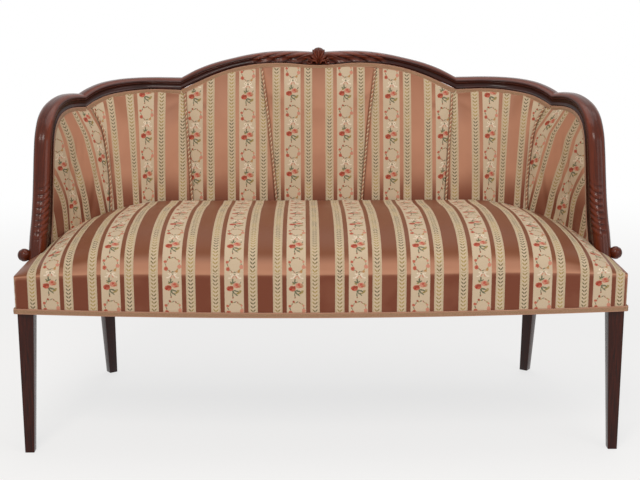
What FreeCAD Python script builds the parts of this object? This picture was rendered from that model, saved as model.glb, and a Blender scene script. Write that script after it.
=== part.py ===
"""A camelback settee with a carved show-wood frame and a sprung, crowned seat.

Units are millimetres. +X is the sitter's right, seen from the front, +Y is towards the back and +Z is up.
The origin is on the floor, below the middle of the outside box. The model is built with Y measured from the
front corners of the seat, and is moved as a whole before it is written.

The back and both wings are one wall that follows the plan of the seat. A place on the wall has three
numbers: u, the way along the plan from the middle of the back towards the left; z, the height; and t,
the depth inwards from the outside face. The left half is built, and the right half is its mirror image.
"""

import FreeCAD
import Part
import math
import os

V = FreeCAD.Vector
UP = V(0, 0, 1)

# Plan of the seat, measured from the front corners
SEAT_HALF_WIDTH = 646.0
SEAT_DEPTH = 500.0
FRONT_BOW = 41.0
REAR_CORNER_RADIUS = 250.0

# Heights of the seat
SEAT_UNDERSIDE = 313.0
RAIL_BOTTOM = 318.0
RAIL_TOP = 388.0
SEAT_EDGE = 394.0
SEAT_CROWN = 84.0
CROWN_FRONT_REACH = 320.0
CROWN_SIDE_REACH = 300.0
CROWN_REAR_DROP = 0.13
SEAT_EDGE_ROUND = 6.0
SEAT_CORNER_ROUND = 9.0

# Seat frame
BAND_THICKNESS = 4.0
RAIL_THICKNESS = 26.0
LEG_TOP = 34.0
LEG_FOOT = 20.0
REAR_LEG_TOP = 32.0
REAR_LEG_FOOT = 21.0
REAR_LEG_RAKE = 113.0
REAR_LEG_SPLAY = 11.0
POST_TURN = 35.0
BLOCK_LEG = 66.0
BLOCK_HEIGHT = 42.0
BRACE_WIDTH = 40.0
BRACE_HEIGHT = 26.0

# Wall of the back and the wings
BACK_LEAN = 0.125
WING_LEAN = -0.04
BACK_LEAN_FROM = 320.0
WING_LEAN_FROM = 388.0
LEAN_EASE = 60.0
COVER_THICKNESS = 2.0
UPRIGHT_DEPTH = 24.0
UPRIGHT_WIDTH = 40.0
UPRIGHT_AT = 312.0
TACKING_RAIL_BOTTOM = 400.0
TACKING_RAIL_HEIGHT = 40.0
BURLAP_THICKNESS = 1.2
BURLAP_BORDER = 3.0
WEB_WIDTH = 50.0
WEB_START = 75.0
WEB_PITCH = 136.0
SPRING_WIRE = 2.2
SPRING_COIL = 30.0
SPRING_TURNS = 3
SPRING_SIDES = 5
SPRING_STEPS = 8

# Padding of the back and the wings
PAD_EDGE_DEPTH = 36.0
PAD_DEPTH_LOW = 74.0
PAD_DEPTH_HIGH = 54.0
WING_PAD_DEPTH = 47.0
PAD_FLAT = 10.0
PAD_ROLL = 75.0
SEAM_DIP = 8.0
SEAM_REACH = 38.0
# Shares of a pad's width and height where its face is shaped, closer together at its edges
CHANNEL_COLUMNS = [0, 0.03, 0.07, 0.13, 0.25, 0.5, 0.75, 0.87, 0.93, 0.97, 1]
WING_COLUMNS = [0, 0.03, 0.07, 0.14, 0.3, 0.45, 0.6, 0.74, 0.85, 0.92, 0.965, 1]
PAD_ROWS = [0, 0.14, 0.28, 0.42, 0.56, 0.68, 0.78, 0.86, 0.92, 0.95, 0.975, 1]
WING_SPLIT = 0.4

# Show wood
RAIL_DEPTH = 39.0
SCROLL_RADIUS = 14.5
SCROLL_PLACE = (888.0, 405.0, -9.0)
SHELL_FOOT_HEIGHT = 802.0
SHELL_REACH = 36.0
SHELL_SPREAD = 62.0
SHELL_LOBES = 5
SHELL_ROOT_DEPTH = 12.0
SHELL_FACE_DEPTH = 42.0
DOWEL_RADIUS = 5.0
DOWEL_LENGTH = 44.0

# Trims
CORD_RADIUS = 2.6
CORD_SIDES = 8
GIMP_WIDTH = 9.0
GIMP_THICKNESS = 2.2
SEAT_GIMP_HEIGHT = 11.0

# Gaps
SOFT_GAP = 0.3
JOINT_GAP = 0.1
EDGE_GAP = 1.2
SEAM_GAP = 0.5

# Show wood on the wall, as ((u, z) of the inner edge, (u, z) of the outer edge)
CREST_STATIONS = [
    ((0, 794), (0, 823)),
    ((38, 795.5), (38, 825)),
    ((78, 799), (78, 826)),
    ((120, 799), (118, 824.5)),
    ((165, 795), (162, 819)),
    ((212, 785.5), (208, 809.5)),
    ((257, 770.5), (257, 797)),
    ((300, 752), (300, 781)),
    ((337, 735), (337, 762)),
]
SHOULDER_STATIONS = [
    ((337, 735), (337, 762)),
    ((366, 736), (366, 762.5)),
    ((400, 737), (400, 763)),
    ((440, 735.5), (440, 762.5)),
    ((482, 731.5), (482, 760)),
    ((520, 725.5), (522, 754)),
    ((555, 715.5), (557, 744)),
    ((585, 704), (585, 733)),
]
ARM_STATIONS = [
    ((585, 704), (585, 733)),
    ((616, 706), (614, 736)),
    ((650, 706.5), (656, 736)),
    ((688, 702), (704, 728)),
    ((723, 692), (750, 714)),
    ((757, 674), (790, 692)),
    ((779, 646), (817, 661)),
    ((789, 610), (829, 621)),
    ((794, 565), (838, 570)),
    ((799, 515), (849, 520)),
    ((806, 470), (864, 482)),
    ((818, 430), (884, 448)),
    ((842, 388.1), (905, 388.1)),
]
# Seams of the back, as (z, u) from the seat up to the show wood
WING_SEAM = [(390, 547), (448, 541), (516, 536), (585, 537), (654, 545), (711, 572)]
SHOULDER_SEAM = [(390, 303), (461, 309), (559, 315), (658, 322), (740, 328)]
COVER_SEAM = [(390, 548), (711, 548)]
CENTRE_SEAM = [(390, 97), (460, 103), (584, 114), (683, 125), (797, 140)]

CORNER_START = SEAT_HALF_WIDTH - REAR_CORNER_RADIUS
CORNER_END = CORNER_START + REAR_CORNER_RADIUS * math.pi / 2
POST_AT = CORNER_START + REAR_CORNER_RADIUS * math.radians(POST_TURN)
ARM_FOOT_REAR = ARM_STATIONS[-1][0][0]
ARM_FOOT_SLANT = (ARM_FOOT_REAR - ARM_STATIONS[-2][0][0]) / (ARM_STATIONS[-2][0][1] - ARM_STATIONS[-1][0][1])
ARM_FOOT_FRONT = ARM_STATIONS[-1][1][0]
BOW_RADIUS = (SEAT_HALF_WIDTH**2 + FRONT_BOW**2) / (2 * FRONT_BOW)
FRAME_INSET = BAND_THICKNESS + SOFT_GAP
STRUCTURE_AT = COVER_THICKNESS + SOFT_GAP
BURLAP_AT = STRUCTURE_AT + UPRIGHT_DEPTH + JOINT_GAP
PAD_BACK = BURLAP_AT + BURLAP_THICKNESS + 2 * SOFT_GAP
SEAT_BURLAP_AT = RAIL_TOP + JOINT_GAP
SEAT_PAD_BOTTOM = SEAT_BURLAP_AT + BURLAP_THICKNESS + SOFT_GAP
WEBBING_TOP = RAIL_BOTTOM - JOINT_GAP
DUST_COVER_TOP = WEBBING_TOP - BURLAP_THICKNESS - SOFT_GAP
BACK_PAD_BOTTOM = WING_SEAM[0][0]


def smooth(points, x):
    """Height of the smooth curve through the points at x, with x rising from point to point."""
    x = min(max(x, points[0][0]), points[-1][0])
    i = max(k for k in range(len(points) - 1) if points[k][0] <= x)
    slopes = []
    for k in (i, i + 1):
        a = points[max(k - 1, 0)]
        b = points[min(k + 1, len(points) - 1)]
        slopes.append((b[1] - a[1]) / (b[0] - a[0]))
    (x0, y0), (x1, y1) = points[i], points[i + 1]
    h = x1 - x0
    s = (x - x0) / h
    return (
        (1 + 2 * s) * (1 - s) ** 2 * y0
        + s * (1 - s) ** 2 * h * slopes[0]
        + s * s * (3 - 2 * s) * y1
        - s * s * (1 - s) * h * slopes[1]
    )


def ease(x):
    """0 below 0, 1 above 1, and smooth between."""
    x = min(max(x, 0.0), 1.0)
    return x * x * (3 - 2 * x)


def lerp(a, b, share):
    return a + (b - a) * share


def inner_height(u):
    """Height of the show wood's inner edge at u, from the middle to the foot of the crest's ends."""
    inner = [pair[0] for pair in CREST_STATIONS + SHOULDER_STATIONS[1:]]
    return smooth(inner, abs(u))


def mirrored(shape):
    return shape.mirror(V(0, 0, 0), V(1, 0, 0))


# The plan and the wall


def plan(u):
    """Point and outward direction of the outside face at u, on the left for u above 0."""
    side = 1 if u >= 0 else -1
    u = abs(u)
    if u <= CORNER_START:
        return V(-u * side, SEAT_DEPTH, 0), V(0, 1, 0)
    if u >= CORNER_END:
        y = SEAT_DEPTH - REAR_CORNER_RADIUS - (u - CORNER_END)
        return V(-SEAT_HALF_WIDTH * side, y, 0), V(-side, 0, 0)
    angle = (u - CORNER_START) / REAR_CORNER_RADIUS
    out = V(-math.sin(angle) * side, math.cos(angle), 0)
    centre = V(-CORNER_START * side, SEAT_DEPTH - REAR_CORNER_RADIUS, 0)
    return centre + out * REAR_CORNER_RADIUS, out


def turn_share(u):
    """0 along the back, 1 along the wing, and smooth round the rear corner."""
    return ease((abs(u) - CORNER_START) / (CORNER_END - CORNER_START))


def lean(u):
    """Outward lean of the wall per millimetre of height, and the height it starts from."""
    share = turn_share(u)
    return lerp(BACK_LEAN, WING_LEAN, share), lerp(BACK_LEAN_FROM, WING_LEAN_FROM, share)


def wall(u, z, t):
    """Point on the wall at height z and depth t."""
    point, out = plan(u)
    slope, start = lean(u)
    above = max(0.0, z - start)
    run = above**2 / (2 * LEAN_EASE) if above < LEAN_EASE else above - LEAN_EASE / 2
    point = point + out * (slope * run - t)
    return V(point.x, point.y, z)


def front_y(x, inset=0.0):
    """Y of the bowed front edge at x."""
    return BOW_RADIUS - FRONT_BOW - math.sqrt((BOW_RADIUS - inset) ** 2 - x * x)


def plan_prism(inset, bottom, top):
    """Upright solid of the seat's plan, with its outline moved inwards."""
    half = SEAT_HALF_WIDTH - inset
    radius = REAR_CORNER_RADIUS - inset
    rear = SEAT_DEPTH - inset
    arc_y = SEAT_DEPTH - REAR_CORNER_RADIUS
    slant = radius * math.sqrt(0.5)
    corner = front_y(half, inset)
    front = Part.Arc(V(-half, corner, bottom), V(0, front_y(0, inset), bottom), V(half, corner, bottom))
    right = Part.LineSegment(V(half, corner, bottom), V(half, arc_y, bottom))
    right_arc = Part.Arc(
        V(half, arc_y, bottom),
        V(CORNER_START + slant, arc_y + slant, bottom),
        V(CORNER_START, rear, bottom),
    )
    back = Part.LineSegment(V(CORNER_START, rear, bottom), V(-CORNER_START, rear, bottom))
    left_arc = Part.Arc(
        V(-CORNER_START, rear, bottom),
        V(-CORNER_START - slant, arc_y + slant, bottom),
        V(-half, arc_y, bottom),
    )
    left = Part.LineSegment(V(-half, arc_y, bottom), V(-half, corner, bottom))
    edges = [c.toShape() for c in (front, right, right_arc, back, left_arc, left)]
    return Part.Face(Part.Wire(edges)).extrude(UP * (top - bottom))


def box(x0, x1, y0, y1, z0, z1):
    return Part.makeBox(x1 - x0, y1 - y0, z1 - z0, V(x0, y0, z0))


# Solids made from a grid of points on each of two faces


def grid_surface(grid):
    surface = Part.BSplineSurface()
    surface.interpolate(grid)
    return surface


def patch_solid(front, back):
    """Closed solid between two grids of points that have the same rows and columns."""
    near, far = grid_surface(front), grid_surface(back)
    faces = [near.toShape(), far.toShape()]
    for iso, low, high in (("uIso", *near.bounds()[0:2]), ("vIso", *near.bounds()[2:4])):
        for value in (low, high):
            a = getattr(near, iso)(value).toShape()
            b = getattr(far, iso)(value).toShape()
            faces.append(Part.makeRuledSurface(a, b))
    shell = Part.Shell(faces)
    shell.sewShape()
    solid = Part.Solid(shell)
    if solid.Volume < 0:
        solid.reverse()
    return solid


def wall_slab(columns, rows, t0, t1):
    """Slab that follows the wall, between depths t0 and t1, with corners at u in columns and z in rows."""
    grids = [[[wall(u, z, t) for z in rows] for u in columns] for t in (t0, t1)]
    return patch_solid(*grids)


def steps(start, end, count):
    return [lerp(start, end, i / (count - 1)) for i in range(count)]


# Seat frame


def front_leg():
    """Left front leg: a square block between the rails, and below it a taper on the two inner faces."""
    x = -SEAT_HALF_WIDTH + FRAME_INSET
    y = front_y(SEAT_HALF_WIDTH) + FRAME_INSET
    block = box(x, x + LEG_TOP, y, y + LEG_TOP, SEAT_UNDERSIDE, RAIL_TOP)
    taper = Part.makeLoft([square_wire(x, y, LEG_TOP, SEAT_UNDERSIDE), square_wire(x, y, LEG_FOOT, 0)], True, True)
    return block.fuse(taper).removeSplitter()


def square_wire(x, y, side, z):
    corners = [V(x, y, z), V(x + side, y, z), V(x + side, y + side, z), V(x, y + side, z)]
    return Part.makePolygon(corners + corners[:1])


def turned_rectangle(centre, out, width, depth):
    """Rectangle wire, level, with its depth along the direction out."""
    along = V(-out.y, out.x, 0)
    corners = [
        centre + along * (a * width / 2) + out * (b * depth / 2)
        for a, b in ((-1, -1), (1, -1), (1, 1), (-1, 1))
    ]
    return Part.makePolygon(corners + corners[:1])


def post_block(grown):
    """The square part of the left rear post, between the rails."""
    point, out = plan(POST_AT)
    centre = point - out * (FRAME_INSET + REAR_LEG_TOP / 2)
    side = REAR_LEG_TOP + 2 * grown
    wire = turned_rectangle(V(centre.x, centre.y, SEAT_UNDERSIDE), out, side, side)
    return Part.Face(wire).extrude(UP * (RAIL_TOP - SEAT_UNDERSIDE))


def rear_post():
    """Left rear post: a raked, tapered leg, the block between the rails and the stile up to the crest."""
    point, out = plan(POST_AT)
    centre = point - out * (FRAME_INSET + REAR_LEG_TOP / 2)
    sections = []
    for share in steps(0, 1, 5):
        rake = share**1.2
        side = lerp(REAR_LEG_TOP, REAR_LEG_FOOT, share)
        place = V(
            centre.x - REAR_LEG_SPLAY * rake,
            centre.y + REAR_LEG_RAKE * rake,
            SEAT_UNDERSIDE * (1 - share),
        )
        sections.append(turned_rectangle(place, out, side, side))
    leg = Part.makeLoft(sections, True, False)
    top = inner_height(POST_AT + REAR_LEG_TOP / 2) - JOINT_GAP
    columns = steps(POST_AT - REAR_LEG_TOP / 2, POST_AT + REAR_LEG_TOP / 2, 3)
    stile = wall_slab(columns, steps(RAIL_TOP, top, 5), STRUCTURE_AT, STRUCTURE_AT + UPRIGHT_DEPTH)
    return leg.fuse([post_block(0), stile]).removeSplitter()


def seat_rails():
    """Front, rear, left and right rails: one ring that the legs and the posts divide."""
    outer = plan_prism(FRAME_INSET, RAIL_BOTTOM, RAIL_TOP)
    ring = outer.cut(plan_prism(FRAME_INSET + RAIL_THICKNESS, RAIL_BOTTOM, RAIL_TOP))
    x = -SEAT_HALF_WIDTH + FRAME_INSET
    y = front_y(SEAT_HALF_WIDTH) + FRAME_INSET
    reach = LEG_TOP + JOINT_GAP
    leg = box(x - LEG_TOP, x + reach, y - LEG_TOP, y + reach, 0, RAIL_TOP)
    post = post_block(JOINT_GAP)
    pieces = ring.cut([leg, mirrored(leg), post, mirrored(post)]).Solids
    middle = SEAT_DEPTH / 2
    sides = sorted((p for p in pieces if abs(p.CenterOfMass.x) > middle), key=lambda p: p.CenterOfMass.x)
    ends = sorted((p for p in pieces if abs(p.CenterOfMass.x) <= middle), key=lambda p: p.CenterOfMass.y)
    return ends[0], ends[-1], sides[0], sides[-1]


def prism(corners, bottom, height):
    points = [V(x, y, bottom) for x, y in corners]
    return Part.Face(Part.makePolygon(points + points[:1])).extrude(UP * height)


def corner_blocks():
    """Blocks glued inside the four corners of the frame."""
    inner = FRAME_INSET + RAIL_THICKNESS + JOINT_GAP
    bottom = RAIL_TOP - BLOCK_HEIGHT
    x = -SEAT_HALF_WIDTH + inner
    y = front_y(SEAT_HALF_WIDTH) + inner
    block = prism([(x, y - 9), (x + BLOCK_LEG, y - 9), (x, y + BLOCK_LEG)], bottom, BLOCK_HEIGHT)
    block = block.common(plan_prism(inner, bottom, RAIL_TOP))
    reach = FRAME_INSET + LEG_TOP + JOINT_GAP
    leg = box(x - 9, x - inner + reach, y - 19, y - inner + reach, bottom, RAIL_TOP)
    front = block.cut(leg)
    point, out = plan(POST_AT)
    along = V(-out.y, out.x, 0)
    face = point - out * (FRAME_INSET + REAR_LEG_TOP + JOINT_GAP)
    corners = [
        face + along * (side * BLOCK_LEG * share) + out * depth
        for side, share, depth in ((-1, 0.55, -24), (1, 0.55, -24), (1, 1, 20), (-1, 1, 20))
    ]
    rear = prism([(p.x, p.y) for p in corners], bottom, BLOCK_HEIGHT)
    rear = rear.common(plan_prism(inner, bottom, RAIL_TOP)).cut(post_block(JOINT_GAP))
    return [front, mirrored(front), rear, mirrored(rear)]


def seat_brace():
    """Cross brace from the front rail to the rear rail."""
    inner = FRAME_INSET + RAIL_THICKNESS + JOINT_GAP
    start = front_y(BRACE_WIDTH / 2, inner)
    bottom = RAIL_BOTTOM
    return box(-BRACE_WIDTH / 2, BRACE_WIDTH / 2, start, SEAT_DEPTH - inner, bottom, bottom + BRACE_HEIGHT)


def leg_room(bottom, top):
    """Upright boxes round the four corner posts, to cut out of the cloths under the seat."""
    reach = FRAME_INSET + LEG_TOP + 1
    y = front_y(SEAT_HALF_WIDTH)
    front = box(-SEAT_HALF_WIDTH, -SEAT_HALF_WIDTH + reach, y, y + reach, bottom, top)
    point, out = plan(POST_AT)
    centre = point - out * (FRAME_INSET + REAR_LEG_TOP / 2 - 10)
    wire = turned_rectangle(V(centre.x, centre.y, bottom), out, REAR_LEG_TOP + 2, REAR_LEG_TOP + 22)
    rear = Part.Face(wire).extrude(UP * (top - bottom))
    return [front, mirrored(front), rear, mirrored(rear)]


def seat_webbing():
    """Woven webbing strips, both ways, tacked under the seat rails."""
    bottom = WEBBING_TOP - BURLAP_THICKNESS
    strips = []
    for i in range(-4, 5):
        x = i * WEB_PITCH
        strips.append(box(x - WEB_WIDTH / 2, x + WEB_WIDTH / 2, -60, SEAT_DEPTH, bottom, WEBBING_TOP))
    for i in range(3):
        y = WEB_START + i * WEB_PITCH
        strips.append(box(-SEAT_HALF_WIDTH, SEAT_HALF_WIDTH, y, y + WEB_WIDTH, bottom, WEBBING_TOP))
    grid = strips[0].fuse(strips[1:]).removeSplitter()
    grid = grid.common(plan_prism(FRAME_INSET + 6, bottom, WEBBING_TOP))
    return grid.cut(leg_room(bottom, WEBBING_TOP)).Solids[0]


def dust_cover():
    """Black cloth tacked under the whole seat."""
    bottom = DUST_COVER_TOP - BURLAP_THICKNESS
    return plan_prism(FRAME_INSET + 4, bottom, DUST_COVER_TOP).cut(leg_room(bottom, DUST_COVER_TOP))


def seat_burlap():
    """Burlap over the springs, tacked to the top of the rails."""
    top = SEAT_BURLAP_AT + BURLAP_THICKNESS
    sheet = plan_prism(FRAME_INSET + 5, SEAT_BURLAP_AT, top)
    foot = arm_foot_room(SEAT_BURLAP_AT, top)
    posts = leg_room(SEAT_BURLAP_AT, top)[2:]
    rear = wall(0, top, STRUCTURE_AT + UPRIGHT_DEPTH + EDGE_GAP).y
    uprights = box(-SEAT_HALF_WIDTH, SEAT_HALF_WIDTH, rear, SEAT_DEPTH, SEAT_BURLAP_AT, top)
    return sheet.cut([foot, mirrored(foot), uprights] + posts)


def arm_foot_room(bottom, top):
    """Box round the foot of the left arm, which stands on the side rail."""
    y = SEAT_DEPTH - REAR_CORNER_RADIUS + CORNER_END
    return box(
        -SEAT_HALF_WIDTH - 5,
        -SEAT_HALF_WIDTH + RAIL_DEPTH + EDGE_GAP,
        y - ARM_FOOT_FRONT - EDGE_GAP,
        y - ARM_FOOT_REAR + EDGE_GAP,
        bottom,
        top,
    )


def seat_springs():
    """Coil springs on the crossings of the webbing, tied under the burlap."""
    start = WEBBING_TOP + JOINT_GAP + SPRING_WIRE
    height = SEAT_BURLAP_AT - JOINT_GAP - SPRING_WIRE - start
    count = SPRING_TURNS * SPRING_STEPS
    rings = []
    for i in range(count + 1):
        angle = 2 * math.pi * i / SPRING_STEPS
        out = V(math.cos(angle), math.sin(angle), 0)
        centre = out * SPRING_COIL + UP * (height * i / count)
        rings.append(ring_wire(centre, out, UP, SPRING_WIRE, SPRING_SIDES))
    spring = Part.makeLoft(rings, True, True)
    springs = []
    for i in (-3, -1, 1, 3):
        for j in (0, 2):
            copy = spring.copy()
            copy.translate(V(i * WEB_PITCH, WEB_START + WEB_WIDTH / 2 + j * WEB_PITCH, start))
            springs.append(copy)
    return springs


def ring_wire(centre, a, b, radius, sides):
    """Regular polygon round centre, in the plane of the directions a and b."""
    corners = []
    for i in range(sides):
        angle = 2 * math.pi * i / sides
        corners.append(centre + (a * math.cos(angle) + b * math.sin(angle)) * radius)
    return Part.makePolygon(corners + corners[:1])


# Show wood


def rail_section(inner, outer):
    """Outline of the show wood across its length: a hollowed face and a rounded outer edge."""

    def at(share, depth):
        return wall(lerp(inner[0], outer[0], share), lerp(inner[1], outer[1], share), RAIL_DEPTH * depth)

    edges = [
        Part.LineSegment(at(0, 0), at(0, 0.98)),
        Part.Arc(at(0, 0.98), at(0.34, 0.92), at(0.68, 0.98)),
        Part.Arc(at(0.68, 0.98), at(0.94, 0.78), at(1, 0.42)),
        Part.Arc(at(1, 0.42), at(0.96, 0.15), at(0.8, 0)),
        Part.LineSegment(at(0.8, 0), at(0, 0)),
    ]
    return Part.Wire([e.toShape() for e in edges])


def show_rail(stations):
    return Part.makeLoft([rail_section(*pair) for pair in stations], True, False)


def crest_rail():
    """Middle crest with its dip, and the carved shell that stands over the dip."""
    left = CREST_STATIONS[1:]
    right = [((-i[0], i[1]), (-o[0], o[1])) for i, o in reversed(left)]
    rail = show_rail(right + CREST_STATIONS[:1] + left)
    return rail.fuse(crest_shell())


def crest_shell():
    """Scallop shell of fanned lobes, smaller at its face than at its root."""
    outlines = []
    for depth, share in ((SHELL_ROOT_DEPTH, 1), (SHELL_FACE_DEPTH, 0.72)):
        foot = wall(0, SHELL_FOOT_HEIGHT, depth)
        spread = math.radians(SHELL_SPREAD)
        rim = []
        for i in range(2 * SHELL_LOBES + 1):
            angle = lerp(-spread, spread, i / (2 * SHELL_LOBES))
            reach = SHELL_REACH * share * (1 if i % 2 else 0.86)
            rim.append(foot + V(math.sin(angle), 0, math.cos(angle)) * reach)
        edges = [Part.LineSegment(foot, rim[0])]
        for i in range(SHELL_LOBES):
            edges.append(Part.Arc(rim[2 * i], rim[2 * i + 1], rim[2 * i + 2]))
        edges.append(Part.LineSegment(rim[-1], foot))
        outlines.append(Part.Wire([e.toShape() for e in edges]))
    return Part.makeLoft(outlines, True, True)


def arm_rail():
    """Left end of the show wood: the shoulder, the front post and the scroll at its foot."""
    rail = show_rail(ARM_STATIONS)
    scroll = Part.makeSphere(SCROLL_RADIUS, wall(*SCROLL_PLACE))
    return rail.fuse(scroll)


def dowels(grown):
    """Dowels across the joints of the show wood; grown makes their holes."""
    pins = []
    for u, pair in ((337, CREST_STATIONS[-1]), (585, ARM_STATIONS[0])):
        height = (pair[0][1] + pair[1][1]) / 2
        place = wall(u, height, RAIL_DEPTH / 2)
        ahead = wall(u + 8, height, RAIL_DEPTH / 2)
        way = (ahead - place).normalize()
        length = DOWEL_LENGTH + 2 * grown
        pins.append(Part.makeCylinder(DOWEL_RADIUS + grown, length, place - way * (length / 2), way))
    return pins + [mirrored(p) for p in pins]


# Cloth and padding


def path(points):
    curve = Part.BSplineCurve()
    curve.interpolate([V(p[0], p[1], 0) for p in points])
    return curve


def offset_points(points, distance, shares):
    """Points (u, z) at shares of a path's length, moved square to it, to the right of travel."""
    curve = path(points)
    first, last = curve.FirstParameter, curve.LastParameter
    total = curve.length()
    result = []
    for share in shares:
        value = curve.parameterAtDistance(total * share, first) if share < 1 else last
        place = curve.value(value)
        ahead = curve.tangent(value)[0]
        result.append((place.x + ahead.y * distance, place.y - ahead.x * distance))
    return result


def seam_point(seam, z):
    return smooth(seam, z)


def inner_edge():
    """The show wood's whole inner edge on the left, from the middle to the arm's foot."""
    chains = (CREST_STATIONS, SHOULDER_STATIONS, ARM_STATIONS)
    return [offset_points([pair[0] for pair in chain], 0, steps(0, 1, 40)) for chain in chains]


EDGE_POINTS = [p for chain in inner_edge() for p in chain]


def edge_distance(u, z):
    return min(math.hypot(u - p[0], z - p[1]) for p in EDGE_POINTS)


def pad_depth(u, z, seams):
    """Depth of the padding's face: deep low down, rolled at the show wood and drawn in at the seams."""
    u = abs(u)
    share = turn_share(u)
    height = ease((z - 470) / 280)
    full = lerp(lerp(PAD_DEPTH_LOW, PAD_DEPTH_HIGH, height), WING_PAD_DEPTH, share)
    roll = 1 - (1 - min(max(edge_distance(u, z) - PAD_FLAT, 0) / PAD_ROLL, 1)) ** 2
    depth = lerp(PAD_EDGE_DEPTH, full, roll)
    for seam in seams:
        near = min(abs(u - seam_point(seam, z)) / SEAM_REACH, 1)
        depth -= SEAM_DIP * (1 - near) ** 2 * roll
    return depth


def coons(bottom, top, left, right, columns, rows):
    """Grid of (u, z) filled in between four edges, whose points lie at the shares in columns and rows."""
    grid = []
    for i, s in enumerate(columns):
        line = []
        for j, t in enumerate(rows):
            point = []
            for k in (0, 1):
                flat = lerp(bottom[i][k], top[i][k], t) + lerp(left[j][k], right[j][k], s)
                corner = lerp(lerp(bottom[0][k], bottom[-1][k], s), lerp(top[0][k], top[-1][k], s), t)
                point.append(flat - corner)
            line.append(tuple(point))
        grid.append(line)
    return grid


def seam_top(seam, gap):
    """Height at which a seam meets the show wood, less the gap."""
    z = seam[-1][0]
    for _ in range(4):
        z = inner_height(smooth(seam, z)) - gap
    return z


def back_grid(near, far, bottom, gap, columns, rows):
    """Grid between two seams of the back, each a seam and the side that it is on."""
    edges = []
    for (seam, side), shift in ((near, SEAM_GAP / 2), (far, -SEAM_GAP / 2)):
        heights = [lerp(bottom, seam_top(seam, gap), share) for share in rows]
        edges.append([(side * smooth(seam, z) + shift, z) for z in heights])
    left, right = edges
    low = [(lerp(left[0][0], right[0][0], share), bottom) for share in columns]
    across = [lerp(left[-1][0], right[-1][0], share) for share in columns]
    high = [(u, inner_height(u) - gap) for u in across]
    return coons(low, high, left, right, columns, rows)


def wing_grid(seam, bottom, gap, columns, rows):
    """Grid of the wing, from a seam round to the arm's front post."""
    heights = [lerp(bottom, seam_top(seam, gap), share) for share in rows]
    left = [(smooth(seam, z) + SEAM_GAP / 2, z) for z in heights]
    start = left[-1][0]
    edge = [(start, inner_height(start))] + [pair[0] for pair in ARM_STATIONS]
    high = offset_points(edge, gap, [WING_SPLIT * share for share in columns])
    high[0] = left[-1]
    right = offset_points(edge, gap, [1 - (1 - WING_SPLIT) * share for share in rows])
    right[0] = (right[0][0] - (bottom - right[0][1]) * ARM_FOOT_SLANT, bottom)
    right[-1] = high[-1]
    low = [(lerp(left[0][0], right[0][0], share), bottom) for share in columns]
    return coons(low, high, left, right, columns, rows)


def padded(grid, seams):
    """Padding over a grid of (u, z), flat behind and with a shaped face."""
    face = [[wall(u, z, pad_depth(u, z, seams)) for u, z in line] for line in grid]
    behind = [[wall(u, z, PAD_BACK) for u, z in line] for line in grid]
    return patch_solid(face, behind)


def cloth(grid, depth, thickness):
    near = [[wall(u, z, depth + thickness) for u, z in line] for line in grid]
    far = [[wall(u, z, depth) for u, z in line] for line in grid]
    return patch_solid(near, far)


def outside_wing_cover():
    """Outside cloth of the left wing, from under the show wood down over the side rail."""
    upper = wing_grid(COVER_SEAM, RAIL_TOP, EDGE_GAP, WING_COLUMNS, steps(0, 1, 13))
    heights = steps(SEAT_UNDERSIDE, RAIL_TOP, 4)
    lower = [[(line[0][0], z) for z in heights] for line in upper]
    pieces = [cloth(grid, 0, COVER_THICKNESS) for grid in (upper, lower)]
    return pieces[0].fuse(pieces[1])


def back_pads():
    """The five channels of the back, from the middle to the left, as name, near seam and far seam."""
    return [
        ("centre_back_pad", (CENTRE_SEAM, -1), (CENTRE_SEAM, 1), [CENTRE_SEAM]),
        ("inner_back_pad", (CENTRE_SEAM, 1), (SHOULDER_SEAM, 1), [CENTRE_SEAM, SHOULDER_SEAM]),
        ("back_pad", (SHOULDER_SEAM, 1), (WING_SEAM, 1), [SHOULDER_SEAM, WING_SEAM]),
    ]


def seam_cord(seam, seams):
    """Twisted cord along a seam, lying in the groove between two channels."""
    top = inner_height(smooth(seam, seam[-1][0])) - PAD_FLAT - 3
    points = []
    for z in steps(seam[0][0] + 3, top, 9):
        u = smooth(seam, z)
        points.append(wall(u, z, pad_depth(u, z, seams) + CORD_RADIUS * 1.2 + 2 * SOFT_GAP))
    rings = []
    for i, point in enumerate(points):
        way = points[min(i + 1, len(points) - 1)] - points[max(i - 1, 0)]
        side = way.cross(V(0, 1, 0)).normalize()
        rings.append(ring_wire(point, side, side.cross(way).normalize(), CORD_RADIUS, CORD_SIDES))
    return Part.makeLoft(rings, True, True)


def back_gimp():
    """Braid along the show wood's inner edge, as pieces mitred at the notches."""
    pieces = []
    start = PAD_EDGE_DEPTH + 2 * SOFT_GAP
    right = [((-i[0], i[1]), (-o[0], o[1])) for i, o in reversed(CREST_STATIONS[1:])]
    chains = (right + CREST_STATIONS, 23, 1), (SHOULDER_STATIONS, 11, 1), (ARM_STATIONS, 25, 0.975)
    for chain, count, reach in chains:
        edge = [pair[0] for pair in chain]
        shares = steps(0.002, 0.998 * reach, count)
        lines = [offset_points(edge, d, shares) for d in (EDGE_GAP, GIMP_WIDTH / 2, GIMP_WIDTH)]
        face = [[wall(u, z, start + GIMP_THICKNESS) for u, z in line] for line in lines]
        behind = [[wall(u, z, start) for u, z in line] for line in lines]
        pieces.append(patch_solid(face, behind))
    return pieces + [mirrored(p) for p in pieces[1:]]


def seat_height(x, y):
    """Height of the seat's crown at a place in plan."""
    side = SEAT_HALF_WIDTH - abs(x)
    front = y - front_y(x)
    rise = 1 - (1 - min(front / CROWN_FRONT_REACH, 1)) ** 2
    rise *= 1 - (1 - min(side / CROWN_SIDE_REACH, 1)) ** 2
    rise *= 1 - CROWN_REAR_DROP * ease((y - 270) / 180)
    return SEAT_EDGE + SEAT_CROWN * rise


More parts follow.
